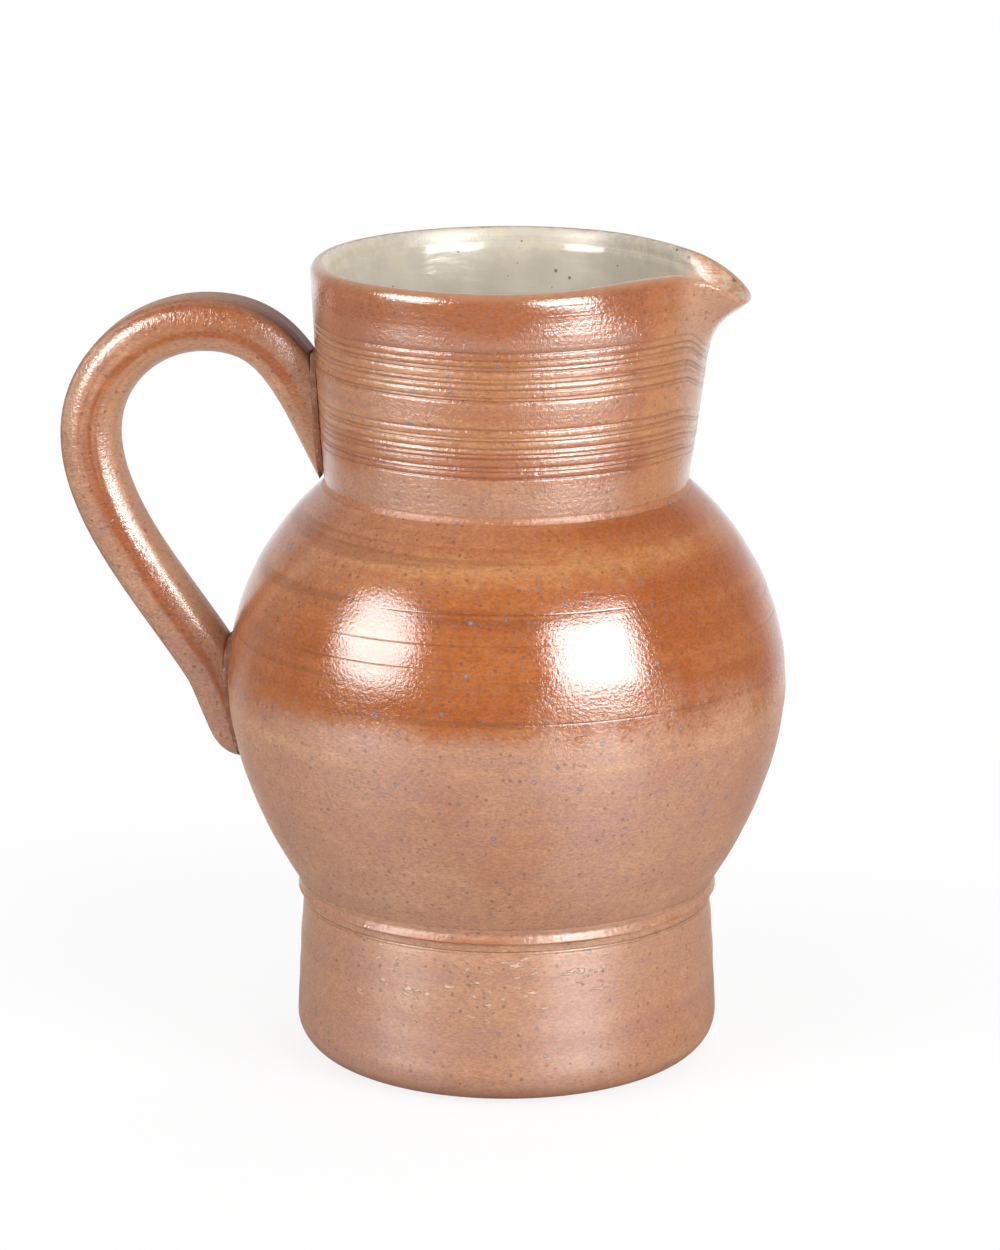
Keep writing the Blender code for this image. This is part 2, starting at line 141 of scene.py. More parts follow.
# Pouring lip
LIP_BOTTOM = NECK_BOTTOM + 0.0030
LIP_REACH = 0.0201
LIP_HALFWAY = RIM_TOP - 0.0022
LIP_CURL = 0.0040
LIP_SPREAD = math.radians(15.7)
LIP_BLUNTNESS = 3.3
LIP_DROP = 0.0095
LIP_DROP_SPREAD = math.radians(13.7)
LIP_DROP_BLUNTNESS = 2.9
THROAT_SWELL = 0.0037
THROAT_SPREAD = math.radians(61.7)
PINCH_DEPTH = 0.0051
PINCH_POWER = 5.6
PINCH_RISE = 0.0007
PINCH_ANGLE = math.radians(39.4)
PINCH_SPREAD = math.radians(24.7)

# Handle
HANDLE_THICKNESS = 0.0182
HANDLE_UPPER_THICKNESS = 0.0168
HANDLE_WIDTH = 0.0190
HANDLE_SQUARENESS = 2.3
CHANNEL_WIDTH = 0.0112
CHANNEL_DEPTH = 0.0009
CHANNEL_RIDGE = 0.00020
CHANNEL_RIDGE_PLACE = 0.52 * CHANNEL_WIDTH
CHANNEL_RIDGE_WIDTH = 0.0006
RIPPLE_COUNT = 9
RIPPLE_DEPTH = 0.00016
RIPPLE_SWAY = 2
RIPPLE_SWAY_RATE = 40
STRAP_CLEARANCE = 0.00001
UPPER_SEAT_RISE = 0.0160
UPPER_SLANT = math.radians(26)
UPPER_ROOT = 0.0200
ARCH_OUT = 0.0338
ARCH_RISE = 0.0284
GRIP_OUT = 0.0697
GRIP_DROP = 0.0347
LOWER_SEAT_DROP = 0.0074
LOWER_SLANT = math.radians(33)
LOWER_APPROACH = 0.0136
TONGUE_LENGTH = 0.0180
TONGUE_SINK = 0.0022
TONGUE_THICKNESS = 0.0164
TONGUE_SLANT = math.radians(35)
TONGUE_ROUND = 0.0120
TONGUE_END_SHARE = 0.98
RISE_PULL = 0.5
ARCH_PULL = 0.375
QUARTER_TURN_PULL = 0.5523
FALL_PULL = 0.3125
PRESS_PULL = 0.25
TONGUE_PULL = 0.5

# Slip and liner glaze
SQUEEZED_OUT = 0.0002
GLAZE_LEDGE_TOP = RIM_TOP - 0.0044
GLAZE_LEDGE_BOTTOM = RIM_TOP - 0.0062
GLAZE_LEDGE_SHARE = 0.50
GLAZE_FULL = RIM_TOP - 0.0220
CLEARANCE = 0.0003
SEAM = 0.00005
HANDLE_SLIP_THICKNESS = 0.0015
HANDLE_SLIP_SPREAD = 0.0011
HANDLE_SLIP_FLAT = 0.94
HANDLE_SLIP_UNEVEN = 0.05
GLAZE_THICKNESS = 0.0008
GLAZE_TOP = RIM_SHOULDER - 0.0008

# How finely the pieces are divided
SEGMENTS = 240
TURNS = np.arange(SEGMENTS)[None, :] * (FULL_TURN / SEGMENTS)
HANDLE_SIDES = 72
HANDLE_RINGS = 220
HANDLE_SAMPLES = 150
HANDLE_ANGLES = FULL_TURN * (np.arange(HANDLE_SIDES) + 0.5) / HANDLE_SIDES
JOIN_DISTANCE = SEAM / 50
SHARP_ANGLE = math.radians(60)

# Colours of fired clay and glaze, as linear light
DEEP_ORANGE = (0.310, 0.080, 0.014)
ORANGE = (0.365, 0.112, 0.027)
PALE_ORANGE = (0.440, 0.178, 0.060)
MAUVE_TAN = (0.370, 0.182, 0.132)
TAN = (0.418, 0.206, 0.114)
PALE_TAN = (0.502, 0.272, 0.152)
# Dark red-brown: the glaze's own dark streaks, and also the painted shade in creases, grooves and beside the
# handle
SCORCH_AND_SHADE = (0.160, 0.048, 0.016)
MAUVE = (0.250, 0.115, 0.085)
SPECK = (0.160, 0.140, 0.142)
SPECK_HEART = (0.330, 0.310, 0.320)
BROWN_SPECK = (0.150, 0.060, 0.030)
CRUMB = (0.700, 0.540, 0.410)
LINER = (0.490, 0.438, 0.358)
PALE_LINER = (0.600, 0.545, 0.456)
LINER_STAIN = (0.650, 0.562, 0.410)
LINER_SPECK = (0.110, 0.100, 0.090)
WHITE = (1.0, 1.0, 1.0)
FLOOR_GREY = (0.86, 0.86, 0.86)

# Where the glaze changes, as stretches along X on the way to the lip's tip
TOWARDS_LIP = (0.033, 0.047)
BEFORE_LIP = (0.040, 0.050)
BESIDE_LIP = (0.041, 0.049)
ON_LIP = (0.0500, 0.0575)
LIP_SIDE_END = (0.0510, 0.0570)
LIP_TIP = (0.0515, 0.0575)
LINER_BLUSH = (0.052, 0.060)
LINER_TIP = (0.066, 0.073)
SMEAR_PLACE = (0.0661, 0.0113, 0.2335)
SMEAR_EDGE = (0.0015, 0.0021)

# The photograph's camera, with its focal length and framing in pixels of a 1000 by 1250 picture
PICTURE_WIDTH = 1000
PICTURE_HEIGHT = 1250
FOCAL_PIXELS = 4971.5
AXIS_PIXEL = 506.7
CAMERA_DISTANCE = 1.42823
CAMERA_HEIGHT = 0.50245
CAMERA_AZIMUTH = math.radians(7.5)
CAMERA_PITCH = math.radians(14.627)
SENSOR_SIZE = 36.0

# Light and floor
BEHIND = (-math.sin(CAMERA_AZIMUTH), math.cos(CAMERA_AZIMUTH), 0.0)
WHITE_ZONE = (0.60, 0.88)
FRONT_GREY = 0.30
BACK_WALL = 0.75
FILL_LIGHT = 0.34
SOFTBOX_DISTANCE = 1.1
SOFTBOX_DEPTH = 0.03
GLARE_SIZE = 0.84
FLOOR_HALF = 8.0
SHADOW_STRETCH = (0.06, 0.36)
SHADOW_WHITE = 0.84


def blend(low, high, share):
    return low + (high - low) * share


def shares(count):
    return np.linspace(0.0, 1.0, count + 1)


def points_of(radius, height):
    return np.stack([radius, height], axis=-1)


def fade(value, start, end):
    """From 0 at start to 1 at end, in a straight line."""
    return np.clip((value - start) / (end - start), 0.0, 1.0)


def hump(value, middle, width):
    """A smooth hump, 1 at its middle."""
    return np.exp(-(((value - middle) / width) ** 2))


def all_round(values):
    """One value for each ring, given to every point of the ring."""
    return np.repeat(values[:, None], SEGMENTS, axis=1)


# Outlines of the turned pieces


def bulge(height, middle_radius, end_radius, end_height, power):
    """Radius of a rounded wall, widest at height 0, that comes in to end_radius at end_height."""
    reach = end_height / (1 - (end_radius / middle_radius) ** power) ** (1 / power)
    inside = np.clip(1 - (np.maximum(height, 0.0) / reach) ** power, 0.0, 1.0)
    return middle_radius * inside ** (1 / power)


def belly_wall(z, middle_radius, top_radius, bottom_radius):
    upper = bulge(z - BELLY_MIDDLE, middle_radius, top_radius, BELLY_TOP - BELLY_MIDDLE, BELLY_UPPER_POWER)
    lower_height = BELLY_MIDDLE - BELLY_BOTTOM
    lower = bulge(BELLY_MIDDLE - z, middle_radius, bottom_radius, lower_height, BELLY_LOWER_POWER)
    return np.where(z > BELLY_MIDDLE, upper, lower)


def belly_outside(z):
    return belly_wall(z, BELLY_RADIUS, SHOULDER_RADIUS, BELLY_FOOT_RADIUS)


def belly_inside(z):
    return belly_wall(z, BELLY_RADIUS - BELLY_WALL, SHOULDER_BORE, FOOT_BORE)


def belly_heights(count):
    """From the belly's top to its bottom, closer together where the wall turns in."""
    upper = BELLY_MIDDLE + (BELLY_TOP - BELLY_MIDDLE) * np.cos(shares(count) * math.pi / 2)
    lower = BELLY_MIDDLE - (BELLY_MIDDLE - BELLY_BOTTOM) * np.sin(shares(count)[1:] * math.pi / 2)
    return np.concatenate([upper, lower])


def neck_outside(z):
    share = np.maximum(0.0, (z - NECK_BOTTOM) / (RIM_SHOULDER - NECK_BOTTOM))
    return NECK_BASE_RADIUS + NECK_FLARE * share**NECK_FLARE_POWER


def neck_inside(z):
    return blend(SHOULDER_BORE, RIM_BORE, (z - NECK_BOTTOM) / (RIM_SHOULDER - NECK_BOTTOM))


def vessel_outside(z):
    return np.where(z > BELLY_TOP, neck_outside(z), belly_outside(z))


def foot_inner_profile(count):
    """From the foot's upper edge down its inside and over the floor to the axis."""
    corner_radius = FOOT_RADIUS - FOOT_WALL - FLOOR_CORNER_RADIUS
    corner_height = FLOOR_THICKNESS + FLOOR_CORNER_RADIUS
    angle = shares(count) * math.pi / 2
    across = corner_radius + FLOOR_CORNER_RADIUS * np.cos(angle)
    corner = points_of(across, corner_height - FLOOR_CORNER_RADIUS * np.sin(angle))
    wall = points_of(
        blend(FOOT_BORE, corner[0, 0], shares(count)[:-1]),
        blend(FOOT_HEIGHT, corner[0, 1], shares(count)[:-1]),
    )
    floor = points_of(corner[-1, 0] * (1 - shares(count)[1:]), np.full(count, FLOOR_THICKNESS))
    return np.concatenate([wall, corner, floor])


def inset(profile, distance):
    """A profile moved towards the hollow that it encloses, for a profile that runs down and then in."""
    along = np.gradient(profile, axis=0)
    along[0] = (0.0, -1.0)
    along[-1] = (-1.0, 0.0)
    along /= np.linalg.norm(along, axis=1, keepdims=True)
    return profile + distance * points_of(along[:, 1], -along[:, 0])


# Unevenness of hand-made shapes


def wobble(turn, height, pitch, phase):
    """A smooth unevenness between -1 and 1 that joins up round the pot."""
    climb = FULL_TURN * height / pitch
    waves = np.sin(2 * turn + climb + phase) + np.sin(3 * turn - 1.7 * climb + 2.1 * phase)
    return (waves + np.sin(5 * turn + 2.3 * climb + 3.7 * phase)) / 3


def ridges(turn, height, depth, pitch, phase):
    """Depth of the uneven rings that throwing leaves."""
    return depth * (0.5 + 0.5 * wobble(turn, height, pitch, phase))


def comb_depth(turn, height):
    """Depth of the combed grooves, which are no more even than a hand-held comb leaves them."""
    depth = 0.0 * turn * height
    for band, bottom in enumerate(BAND_BOTTOMS):
        for index in range(GROOVE_COUNT):
            middle = bottom + GROOVE_PITCH * (index + 0.5)
            middle = middle + GROOVE_SHIFT * math.sin(2.4 * index + 1.9 * band)
            middle = middle + GROOVE_WAVER * np.sin(2 * turn + 1.3 * index)
            width = GROOVE_WIDTH * (1 + GROOVE_WIDTH_SPREAD * math.sin(4.1 * index + band))
            deeper = np.sin(3 * turn + 2.2 * index + band)
            deep = GROOVE_DEPTH * (1 - GROOVE_DEPTH_SPREAD + GROOVE_DEPTH_SPREAD * deeper)
            depth = np.maximum(depth, deep * hump(height, middle, width))
    return depth


def throwing_line_depth(turn, height):
    """Depth of the fine lines that a finger or a rib left on the belly, which fade in and out."""
    depth = 0.0 * turn * height
    for line, plainest in THROWING_LINES:
        aside = turn - math.radians(plainest)
        middle = line + THROWING_LINE_WAVER * np.sin(aside)
        plain = np.clip(0.3 + 0.7 * np.cos(3 * aside) + 0.2 * np.sin(23 * aside), 0.0, 1.0)
        depth = depth + THROWING_LINE_DEPTH * plain * hump(height, middle, THROWING_LINE_WIDTH)
    return depth


def pull_lip(turn, radius, height):
    """Moves points of the neck or of its glaze as the pouring lip is pulled out of the rim."""
    angle = (turn + math.pi) % FULL_TURN - math.pi
    share = np.maximum(0.0, (height - LIP_BOTTOM) / (RIM_TOP - LIP_BOTTOM))
    leaning = 0.5 + 0.5 * np.tanh((height - LIP_HALFWAY) / (2 * LIP_CURL))
    lip = np.exp(-(np.abs(angle / LIP_SPREAD) ** LIP_BLUNTNESS))
    drop = np.exp(-(np.abs(angle / LIP_DROP_SPREAD) ** LIP_DROP_BLUNTNESS))
    throat = hump(angle, 0.0, THROAT_SPREAD)
    pinch = hump(np.abs(angle), PINCH_ANGLE, PINCH_SPREAD)
    out = LIP_REACH * lip * leaning + THROAT_SWELL * throat * share
    out = out - PINCH_DEPTH * pinch * share**PINCH_POWER
    up = PINCH_RISE * pinch * share - LIP_DROP * drop * share
    return radius + out, height + up


# Meshes


def spin(profile, shape):
    """One ring of points round the axis for each (radius, height) of the profile, moved as shape says."""
    radius, height = shape(TURNS, all_round(profile[:, 0]), all_round(profile[:, 1]))
    return np.stack([radius * np.cos(TURNS), radius * np.sin(TURNS), height], axis=-1)


def ring_faces(rings, closed):
    """Quads that join each ring of points to the next one."""
    index = np.arange(rings.shape[0] * rings.shape[1]).reshape(rings.shape[:2])
    if closed:
        index = np.vstack([index, index[:1]])
    beside = np.roll(index, -1, axis=1)
    quads = np.stack([index[:-1], beside[:-1], beside[1:], index[1:]], axis=-1)
    return quads.reshape(-1, 4).tolist()


def add_piece(name, node, points, faces, finish, marks=None):
    """Adds a piece that stands for a CAD node. Marks are values at its points, for its finish to read."""
    mesh = bpy.data.meshes.new(name)
    mesh.from_pydata(points.reshape(-1, 3).tolist(), [], faces)
    for mark, values in (marks or {}).items():
        layer = mesh.attributes.new(mark, "FLOAT", "POINT")
        layer.data.foreach_set("value", np.ascontiguousarray(values, dtype=np.float32).ravel())
    builder = bmesh.new()
    builder.from_mesh(mesh)
    bmesh.ops.remove_doubles(builder, verts=builder.verts, dist=JOIN_DISTANCE)
    bmesh.ops.recalc_face_normals(builder, faces=builder.faces)
    builder.to_mesh(mesh)
    builder.free()
    mesh.shade_smooth()
    mesh.set_sharp_from_angle(angle=SHARP_ANGLE)
    mesh.materials.append(finish)
    piece = bpy.data.objects.new(name, mesh)
    bpy.context.scene.collection.objects.link(piece)
    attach(piece, "root")
    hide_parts(node)


def make_foot(finish):
    wall = shares(40)
    outside = points_of(
        blend(FOOT_TOP_RADIUS, FOOT_RADIUS, wall**FOOT_FLARE_POWER),
        blend(FOOT_HEIGHT, FOOT_EDGE_HEIGHT, wall),
    )
    angle = shares(20)[1:] * math.pi / 2
    edge = points_of(
        FOOT_RADIUS - FOOT_EDGE_WIDTH * (1 - np.cos(angle)),
        FOOT_EDGE_HEIGHT * (1 - np.sin(angle)),
    )
    base = points_of(edge[-1, 0] * (1 - shares(6)[1:]), np.zeros(6))
    profile = np.concatenate([foot_inner_profile(8)[::-1], outside, edge, base])

    def throw(turn, radius, height):
        on_wall = fade(radius, FOOT_RADIUS - FOOT_WALL / 2, FOOT_RADIUS - FOOT_WALL / 4)
        below_collar = fade(height, FOOT_HEIGHT, FOOT_HEIGHT - SHORT_RIDGE_FADE)
        return radius - ridges(turn, height, *FOOT_RIDGES) * on_wall * below_collar, height

    rings = spin(profile, throw)
    add_piece("thrown_foot", "foot", rings, ring_faces(rings, False), finish)


def make_collar(finish):
    """A roll of clay over the joint of foot and belly, with a worn edge and a creased band below it."""
    bottom = FOOT_HEIGHT + SEAM
    inner_height = blend(bottom, COLLAR_TOP, shares(8))
    inside = points_of(belly_outside(inner_height) + SEAM, inner_height)
    fall = shares(80)
    above_edge = (fall / COLLAR_EDGE) ** COLLAR_POWER
    below_edge = hump(fall, COLLAR_EDGE, COLLAR_STEP)
    rolled = np.where(fall < COLLAR_EDGE, above_edge, below_edge)
    hollow = hump(fall, HOLLOW_PLACE, HOLLOW_WIDTH) * np.minimum(1.0, fall / HOLLOW_START)
    bead = hump(fall, BEAD_PLACE, BEAD_WIDTH)
    shaded_crease = hump(fall, CREASE_PLACE, CREASE_WIDTH)
    worn = hump(fall, WORN_PLACE, WORN_WIDTH)
    line = blend(inside[-1, 0] + SEAM, FOOT_TOP_RADIUS, fall)
    proud = COLLAR_PROUD * rolled + BEAD_HEIGHT * bead - HOLLOW_DEPTH * hollow
    outside = points_of(line + proud - CREASE_DEPTH * shaded_crease, blend(COLLAR_TOP, bottom, fall))
    profile = np.concatenate([inside, outside])

    def press(turn, radius, height):
        on_roll = np.clip((radius - belly_outside(height)) / SHORT_RIDGE_FADE, 0.0, 1.0)
        return radius - ridges(turn, height, *COLLAR_RIDGES) * on_roll, height

    rings = spin(profile, press)
    unmarked = np.zeros(len(inside))
    # The first mark also tells the finish where to paint shade into the crease below the edge
    marks = {
        "shaded_crease": all_round(np.concatenate([unmarked, shaded_crease])),
        "worn": all_round(np.concatenate([unmarked, worn])),
    }
    add_piece("beaded_collar", "foot_collar", rings, ring_faces(rings, True), finish, marks)


def make_belly(finish):
    across_line = THROWING_LINE_WIDTH * np.linspace(-2.5, 2.5, 11)
    near_lines = [line + across_line for line, _ in THROWING_LINES]
    heights = np.unique(np.concatenate([belly_heights(60), *near_lines]))[::-1]
    outside = points_of(belly_outside(heights), heights)
    inner_heights = belly_heights(10)[::-1]
    inside = points_of(belly_inside(inner_heights), inner_heights)
    profile = np.concatenate([outside, inside])
    on_outside = np.concatenate([np.ones(len(outside)), np.zeros(len(inside))])[:, None]
    lines = throwing_line_depth(TURNS, profile[:, 1:]) * on_outside

    def throw(turn, radius, height):
        below_neck = fade(height, BELLY_TOP, BELLY_TOP - RIDGE_FADE)
        above_collar = fade(height, COLLAR_TOP, COLLAR_TOP + RIDGE_FADE)
        uneven = ridges(turn, height, *BELLY_RIDGES) * on_outside
        return radius - uneven * below_neck * above_collar - lines, height

    rings = spin(profile, throw)
    # This mark also tells the finish where to paint shade into the grooves of the throwing lines
    marks = {"shaded_crease": lines / THROWING_LINE_DEPTH}
    add_piece("thrown_belly", "belly", rings, ring_faces(rings, True), finish, marks)


def make_shoulder_slip(finish):
    """The hollow that slip fills between belly and neck, with a broken line squeezed out of it."""
    low = BELLY_TOP + SEAM
    high = NECK_BOTTOM - SEAM
    rise = shares(16)[::-1]
    outside = points_of(
        blend(NECK_BASE_RADIUS, SHOULDER_RADIUS, (1 - rise) ** 2),
        blend(low, high, rise),
    )
    inside = np.array([(SHOULDER_BORE, low), (SHOULDER_BORE, high)])
    profile = np.concatenate([outside, inside])
    proud = np.concatenate([np.sin(math.pi * rise) ** 2, [0.0, 0.0]])[:, None]
    squeezed = proud * np.clip(0.3 + wobble(4 * TURNS, 0.0, 1.0, 0.7), 0.0, 1.0)

    def squeeze(turn, radius, height):
        return radius + SQUEEZED_OUT * squeezed, height

    rings = spin(profile, squeeze)
    marks = {"squeezed": squeezed}
    add_piece("shoulder_seam", "shoulder_slip", rings, ring_faces(rings, True), finish, marks)


def level_on_neck(profile):
    """The height of each ring before the lip is pulled, from 0 at the neck's base to 1 at the rim."""
    return all_round((profile[:, 1] - NECK_BOTTOM) / (RIM_TOP - NECK_BOTTOM))


def make_neck(finish):
    angle = math.pi * (1 - shares(20)[1:-1])
    rim = points_of(
        (RIM_RADIUS + RIM_BORE) / 2 + RIM_THICKNESS / 2 * np.cos(angle),
        RIM_SHOULDER + RIM_ROUND * np.sin(angle),
    )
    bands = [bottom + BAND_HEIGHT * shares(150) for bottom in BAND_BOTTOMS]
    plain = blend(NECK_BOTTOM, RIM_SHOULDER, shares(48))
    heights = np.unique(np.concatenate([plain, *bands]))[::-1]
    outside = points_of(neck_outside(heights), heights)
    inner_heights = blend(NECK_BOTTOM, RIM_SHOULDER, shares(24))
    inside = points_of(neck_inside(inner_heights), inner_heights)
    profile = np.concatenate([rim, outside, inside])
    on_outside = np.concatenate([np.zeros(len(rim)), np.ones(len(outside)), np.zeros(len(inside))])[:, None]
    grooves = comb_depth(TURNS, profile[:, 1:]) * on_outside

    def throw(turn, radius, height):
        above_belly = fade(height, NECK_BOTTOM, NECK_BOTTOM + RIDGE_FADE)
        below_rim = fade(height, RIM_SHOULDER, RIM_SHOULDER - RIDGE_FADE)
        uneven = ridges(turn, height, *NECK_RIDGES) * on_outside
        return pull_lip(turn, radius - uneven * above_belly * below_rim - grooves, height)

    rings = spin(profile, throw)
    combed = np.zeros(len(profile))
    for bottom in BAND_BOTTOMS:
        inside_band = np.minimum(profile[:, 1] - bottom, bottom + BAND_HEIGHT - profile[:, 1])
        combed = np.maximum(combed, np.clip(inside_band / BAND_EDGE, 0.0, 1.0))
    over_rim = np.concatenate([1 - angle / math.pi, np.ones(len(outside)), np.zeros(len(inside))])
    # The groove mark below also tells the finish where to paint shade into the combed grooves
    marks = {
        "shaded_crease": grooves / GROOVE_DEPTH,
        "combed": all_round(combed),
        "over_rim": all_round(over_rim),
        "level": level_on_neck(profile),
    }
    add_piece("combed_neck", "neck", rings, ring_faces(rings, True), finish, marks)


def make_liner(finish):
    """The glaze inside the pot, thin near the rim. Its rings are closer together there."""
    neck_heights = blend(GLAZE_TOP, NECK_BOTTOM, shares(60) ** 1.5)
    neck = points_of(neck_inside(neck_heights), neck_heights)
    heights = belly_heights(24)
    belly = points_of(belly_inside(heights), heights)
    wall = np.concatenate([neck, belly, foot_inner_profile(8)])
    against_clay = inset(wall, SEAM)
    ledge = fade(wall[:, 1:], GLAZE_LEDGE_TOP, GLAZE_LEDGE_BOTTOM)
    swell = fade(wall[:, 1:], GLAZE_LEDGE_BOTTOM, GLAZE_FULL)
    full = GLAZE_LEDGE_SHARE * ledge + (1 - GLAZE_LEDGE_SHARE) * swell
    face = inset(wall, blend(2 * SEAM, CLEARANCE + GLAZE_THICKNESS, full))
    edge = points_of(
        blend(against_clay[0, 0], face[0, 0], shares(6)[1:-1]),
        GLAZE_TOP + SEAM * np.sin(math.pi * shares(6)[1:-1]),
    )
    profile = np.concatenate([against_clay[::-1], edge, face])
    rings = spin(profile, pull_lip)
    marks = {"level": level_on_neck(profile)}
    add_piece("liner", "inner_glaze", rings, ring_faces(rings, False), finish, marks)


# Handle


def curve(start, start_pull, end_pull, end, share):
    rest = 1 - share
    first = start * rest**3 + start_pull * (3 * rest**2 * share)
    return first + end_pull * (3 * rest * share**2) + end * share**3


def slanting(slant):
    """A way that leans outward from upright by this angle."""
    return np.array([math.sin(slant), math.cos(slant)])


def handle_centre_line():
    """Points (distance from the axis, height) from inside the neck to the tongue's end."""
    seat_height = NECK_BOTTOM + UPPER_SEAT_RISE
    neck_radius = float(neck_outside(seat_height))
    seat = np.array([neck_radius, seat_height])
    rising = slanting(UPPER_SLANT)
    arch = np.array([neck_radius + ARCH_OUT, seat_height + ARCH_RISE])
    grip = np.array([neck_radius + GRIP_OUT, arch[1] - GRIP_DROP])
    lower_height = BELLY_MIDDLE - LOWER_SEAT_DROP
    lower = np.array([float(belly_outside(lower_height)), lower_height])
    falling = -slanting(LOWER_SLANT)
    bend = lower - falling * LOWER_APPROACH
    tongue_height = lower_height - TONGUE_LENGTH
    tongue = np.array([float(belly_outside(tongue_height)) - TONGUE_SINK, tongue_height])
    upright = np.array([0.0, 1.0])
    outward = np.array([1.0, 0.0])

    share = shares(HANDLE_SAMPLES)[:-1, None]
    rise = np.linalg.norm(arch - seat)
    turn_out = outward * (QUARTER_TURN_PULL * (grip[0] - arch[0]))
    turn_down = upright * (QUARTER_TURN_PULL * GRIP_DROP)
    fall = FALL_PULL * np.linalg.norm(grip - bend)
    press = np.linalg.norm(bend - tongue)
    root = blend(seat - rising * UPPER_ROOT, seat, share)
    rise_pull = seat + rising * (RISE_PULL * rise)
    arch_pull = arch - outward * (ARCH_PULL * rise)
    rising_part = curve(seat, rise_pull, arch_pull, arch, share)
    turning_part = curve(arch, arch + turn_out, grip + turn_down, grip, share)
    falling_part = curve(grip, grip - upright * fall, bend - falling * fall, bend, share)
    tongue_pull = tongue + slanting(TONGUE_SLANT) * (TONGUE_PULL * press)
    pressed_part = curve(bend, bend + falling * (PRESS_PULL * press), tongue_pull, tongue, share)
    return np.concatenate([root, rising_part, turning_part, falling_part, pressed_part, tongue[None]])


def strap_fibres(swell, pulled):
    """Points of the strap as [step along it, side], with the length along it of each step.

    Swell makes it thicker all round. Pulled adds the ridges and ripples that the potter's hand left.
    """
    path = handle_centre_line()
    step = np.linalg.norm(np.diff(path, axis=0), axis=1)
    length = np.concatenate([[0.0], np.cumsum(step)])
    along = np.gradient(path, axis=0)
    along /= np.linalg.norm(along, axis=1, keepdims=True)
    outer = points_of(-along[:, 1], along[:, 0])
    to_end = length[-1] - length
    pressed = np.maximum(0.0, 1 - to_end / (LOWER_APPROACH + TONGUE_LENGTH))
    thickness = blend(HANDLE_UPPER_THICKNESS, HANDLE_THICKNESS, np.minimum(1.0, 2 * length / length[-1]))
    thickness = blend(thickness, TONGUE_THICKNESS, np.minimum(1.0, 2 * pressed))
    into_end = np.minimum(np.maximum(0.0, 1 - to_end / TONGUE_ROUND), TONGUE_END_SHARE)
    shrink = np.sqrt(1 - into_end**2)

    power = 2 / HANDLE_SQUARENESS
    side = np.sign(np.cos(HANDLE_ANGLES)) * np.abs(np.cos(HANDLE_ANGLES)) ** power
    rise = np.sign(np.sin(HANDLE_ANGLES)) * np.abs(np.sin(HANDLE_ANGLES)) ** power
    across = (HANDLE_WIDTH * shrink / 2 + swell)[:, None] * side
    out = (thickness * shrink / 2 + swell)[:, None] * rise
    channel = np.maximum(0.0, 1 - (2 * across / CHANNEL_WIDTH) ** 2) * (rise > 0)
    out = out - CHANNEL_DEPTH * channel
    if pulled:
        ridge = hump(np.abs(across), CHANNEL_RIDGE_PLACE, CHANNEL_RIDGE_WIDTH)
        out = out + CHANNEL_RIDGE * ridge * (rise > 0) * shrink[:, None]
        sway = RIPPLE_SWAY * np.sin(RIPPLE_SWAY_RATE * length[:, None])
        ripples = 0.5 + 0.5 * np.sin(RIPPLE_COUNT * HANDLE_ANGLES + sway)
        taken = (STRAP_CLEARANCE + RIPPLE_DEPTH * ripples) * shrink[:, None]
        across = across - taken * side
        out = out - taken * rise
    distance = path[:, :1] + outer[:, :1] * out
    height = path[:, 1:] + outer[:, 1:] * out
    return np.stack([-distance, across, height], axis=-1), length


def depth_in_wall(points, gap):
    """How far each point is inside the pot's outer wall, with this gap added to the wall."""
    return vessel_outside(points[..., 2]) + gap - np.hypot(points[..., 0], points[..., 1])


def leaving_steps(fibres, gap):
    """Where each fibre comes out of the neck and where it goes into the belly, as fractions of a step."""
    depth = depth_in_wall(fibres, gap)
    middle = len(fibres) // 2
    first = []
    last = []
    for side in range(fibres.shape[1]):
        inside = depth[:, side] > 0
        out = np.max(np.nonzero(inside[:middle])[0])
        back = middle + np.min(np.nonzero(inside[middle:])[0])
        first.append(out + depth[out, side] / (depth[out, side] - depth[out + 1, side]))
        last.append(back - depth[back, side] / (depth[back, side] - depth[back - 1, side]))
    return np.array(first), np.array(last)


def sample_fibres(fibres, steps):
    """Points of each fibre at fractions of a step, given as [ring, side]."""
    below = np.clip(np.floor(steps).astype(int), 0, len(fibres) - 2)
    share = (steps - below)[..., None]
    side = np.broadcast_to(np.arange(fibres.shape[1]), steps.shape)
    return blend(fibres[below, side], fibres[below + 1, side], share)


def make_handle(finish):
    """The strap between the slip on the neck and the slip on the belly."""
    gap = CLEARANCE + HANDLE_SLIP_THICKNESS + SEAM
    fibres, length = strap_fibres(0.0, True)
    first, last = leaving_steps(fibres, gap)
    steps = blend(first[None, :], last[None, :], shares(HANDLE_RINGS)[:, None])
    rings = sample_fibres(fibres, steps)
    run = np.interp(steps, np.arange(len(length)), length)

    faces = ring_faces(rings, False)
    ends = [rings[0].mean(axis=0), rings[-1].mean(axis=0)]
    for centre in ends:
        centre[:2] *= (vessel_outside(centre[2]) + gap) / math.hypot(centre[0], centre[1])
    points = np.concatenate([rings.reshape(-1, 3), np.array(ends)])
    count = rings.shape[0] * rings.shape[1]
    last_ring = count - HANDLE_SIDES
    for side in range(HANDLE_SIDES):
        beside = (side + 1) % HANDLE_SIDES
        faces.append([beside, side, count])
        faces.append([last_ring + side, last_ring + beside, count + 1])

    outer = np.broadcast_to(np.sin(HANDLE_ANGLES), steps.shape)
    near = np.broadcast_to(np.cos(HANDLE_ANGLES), steps.shape)
    marks = {
        "run": np.concatenate([run.ravel(), [0.0, length[-1]]]),
        "outer": np.concatenate([outer.ravel(), [0.0, 0.0]]),
        "near": np.concatenate([near.ravel(), [0.0, 0.0]]),
    }
    add_piece("pulled_handle", "handle", points, faces, finish, marks)


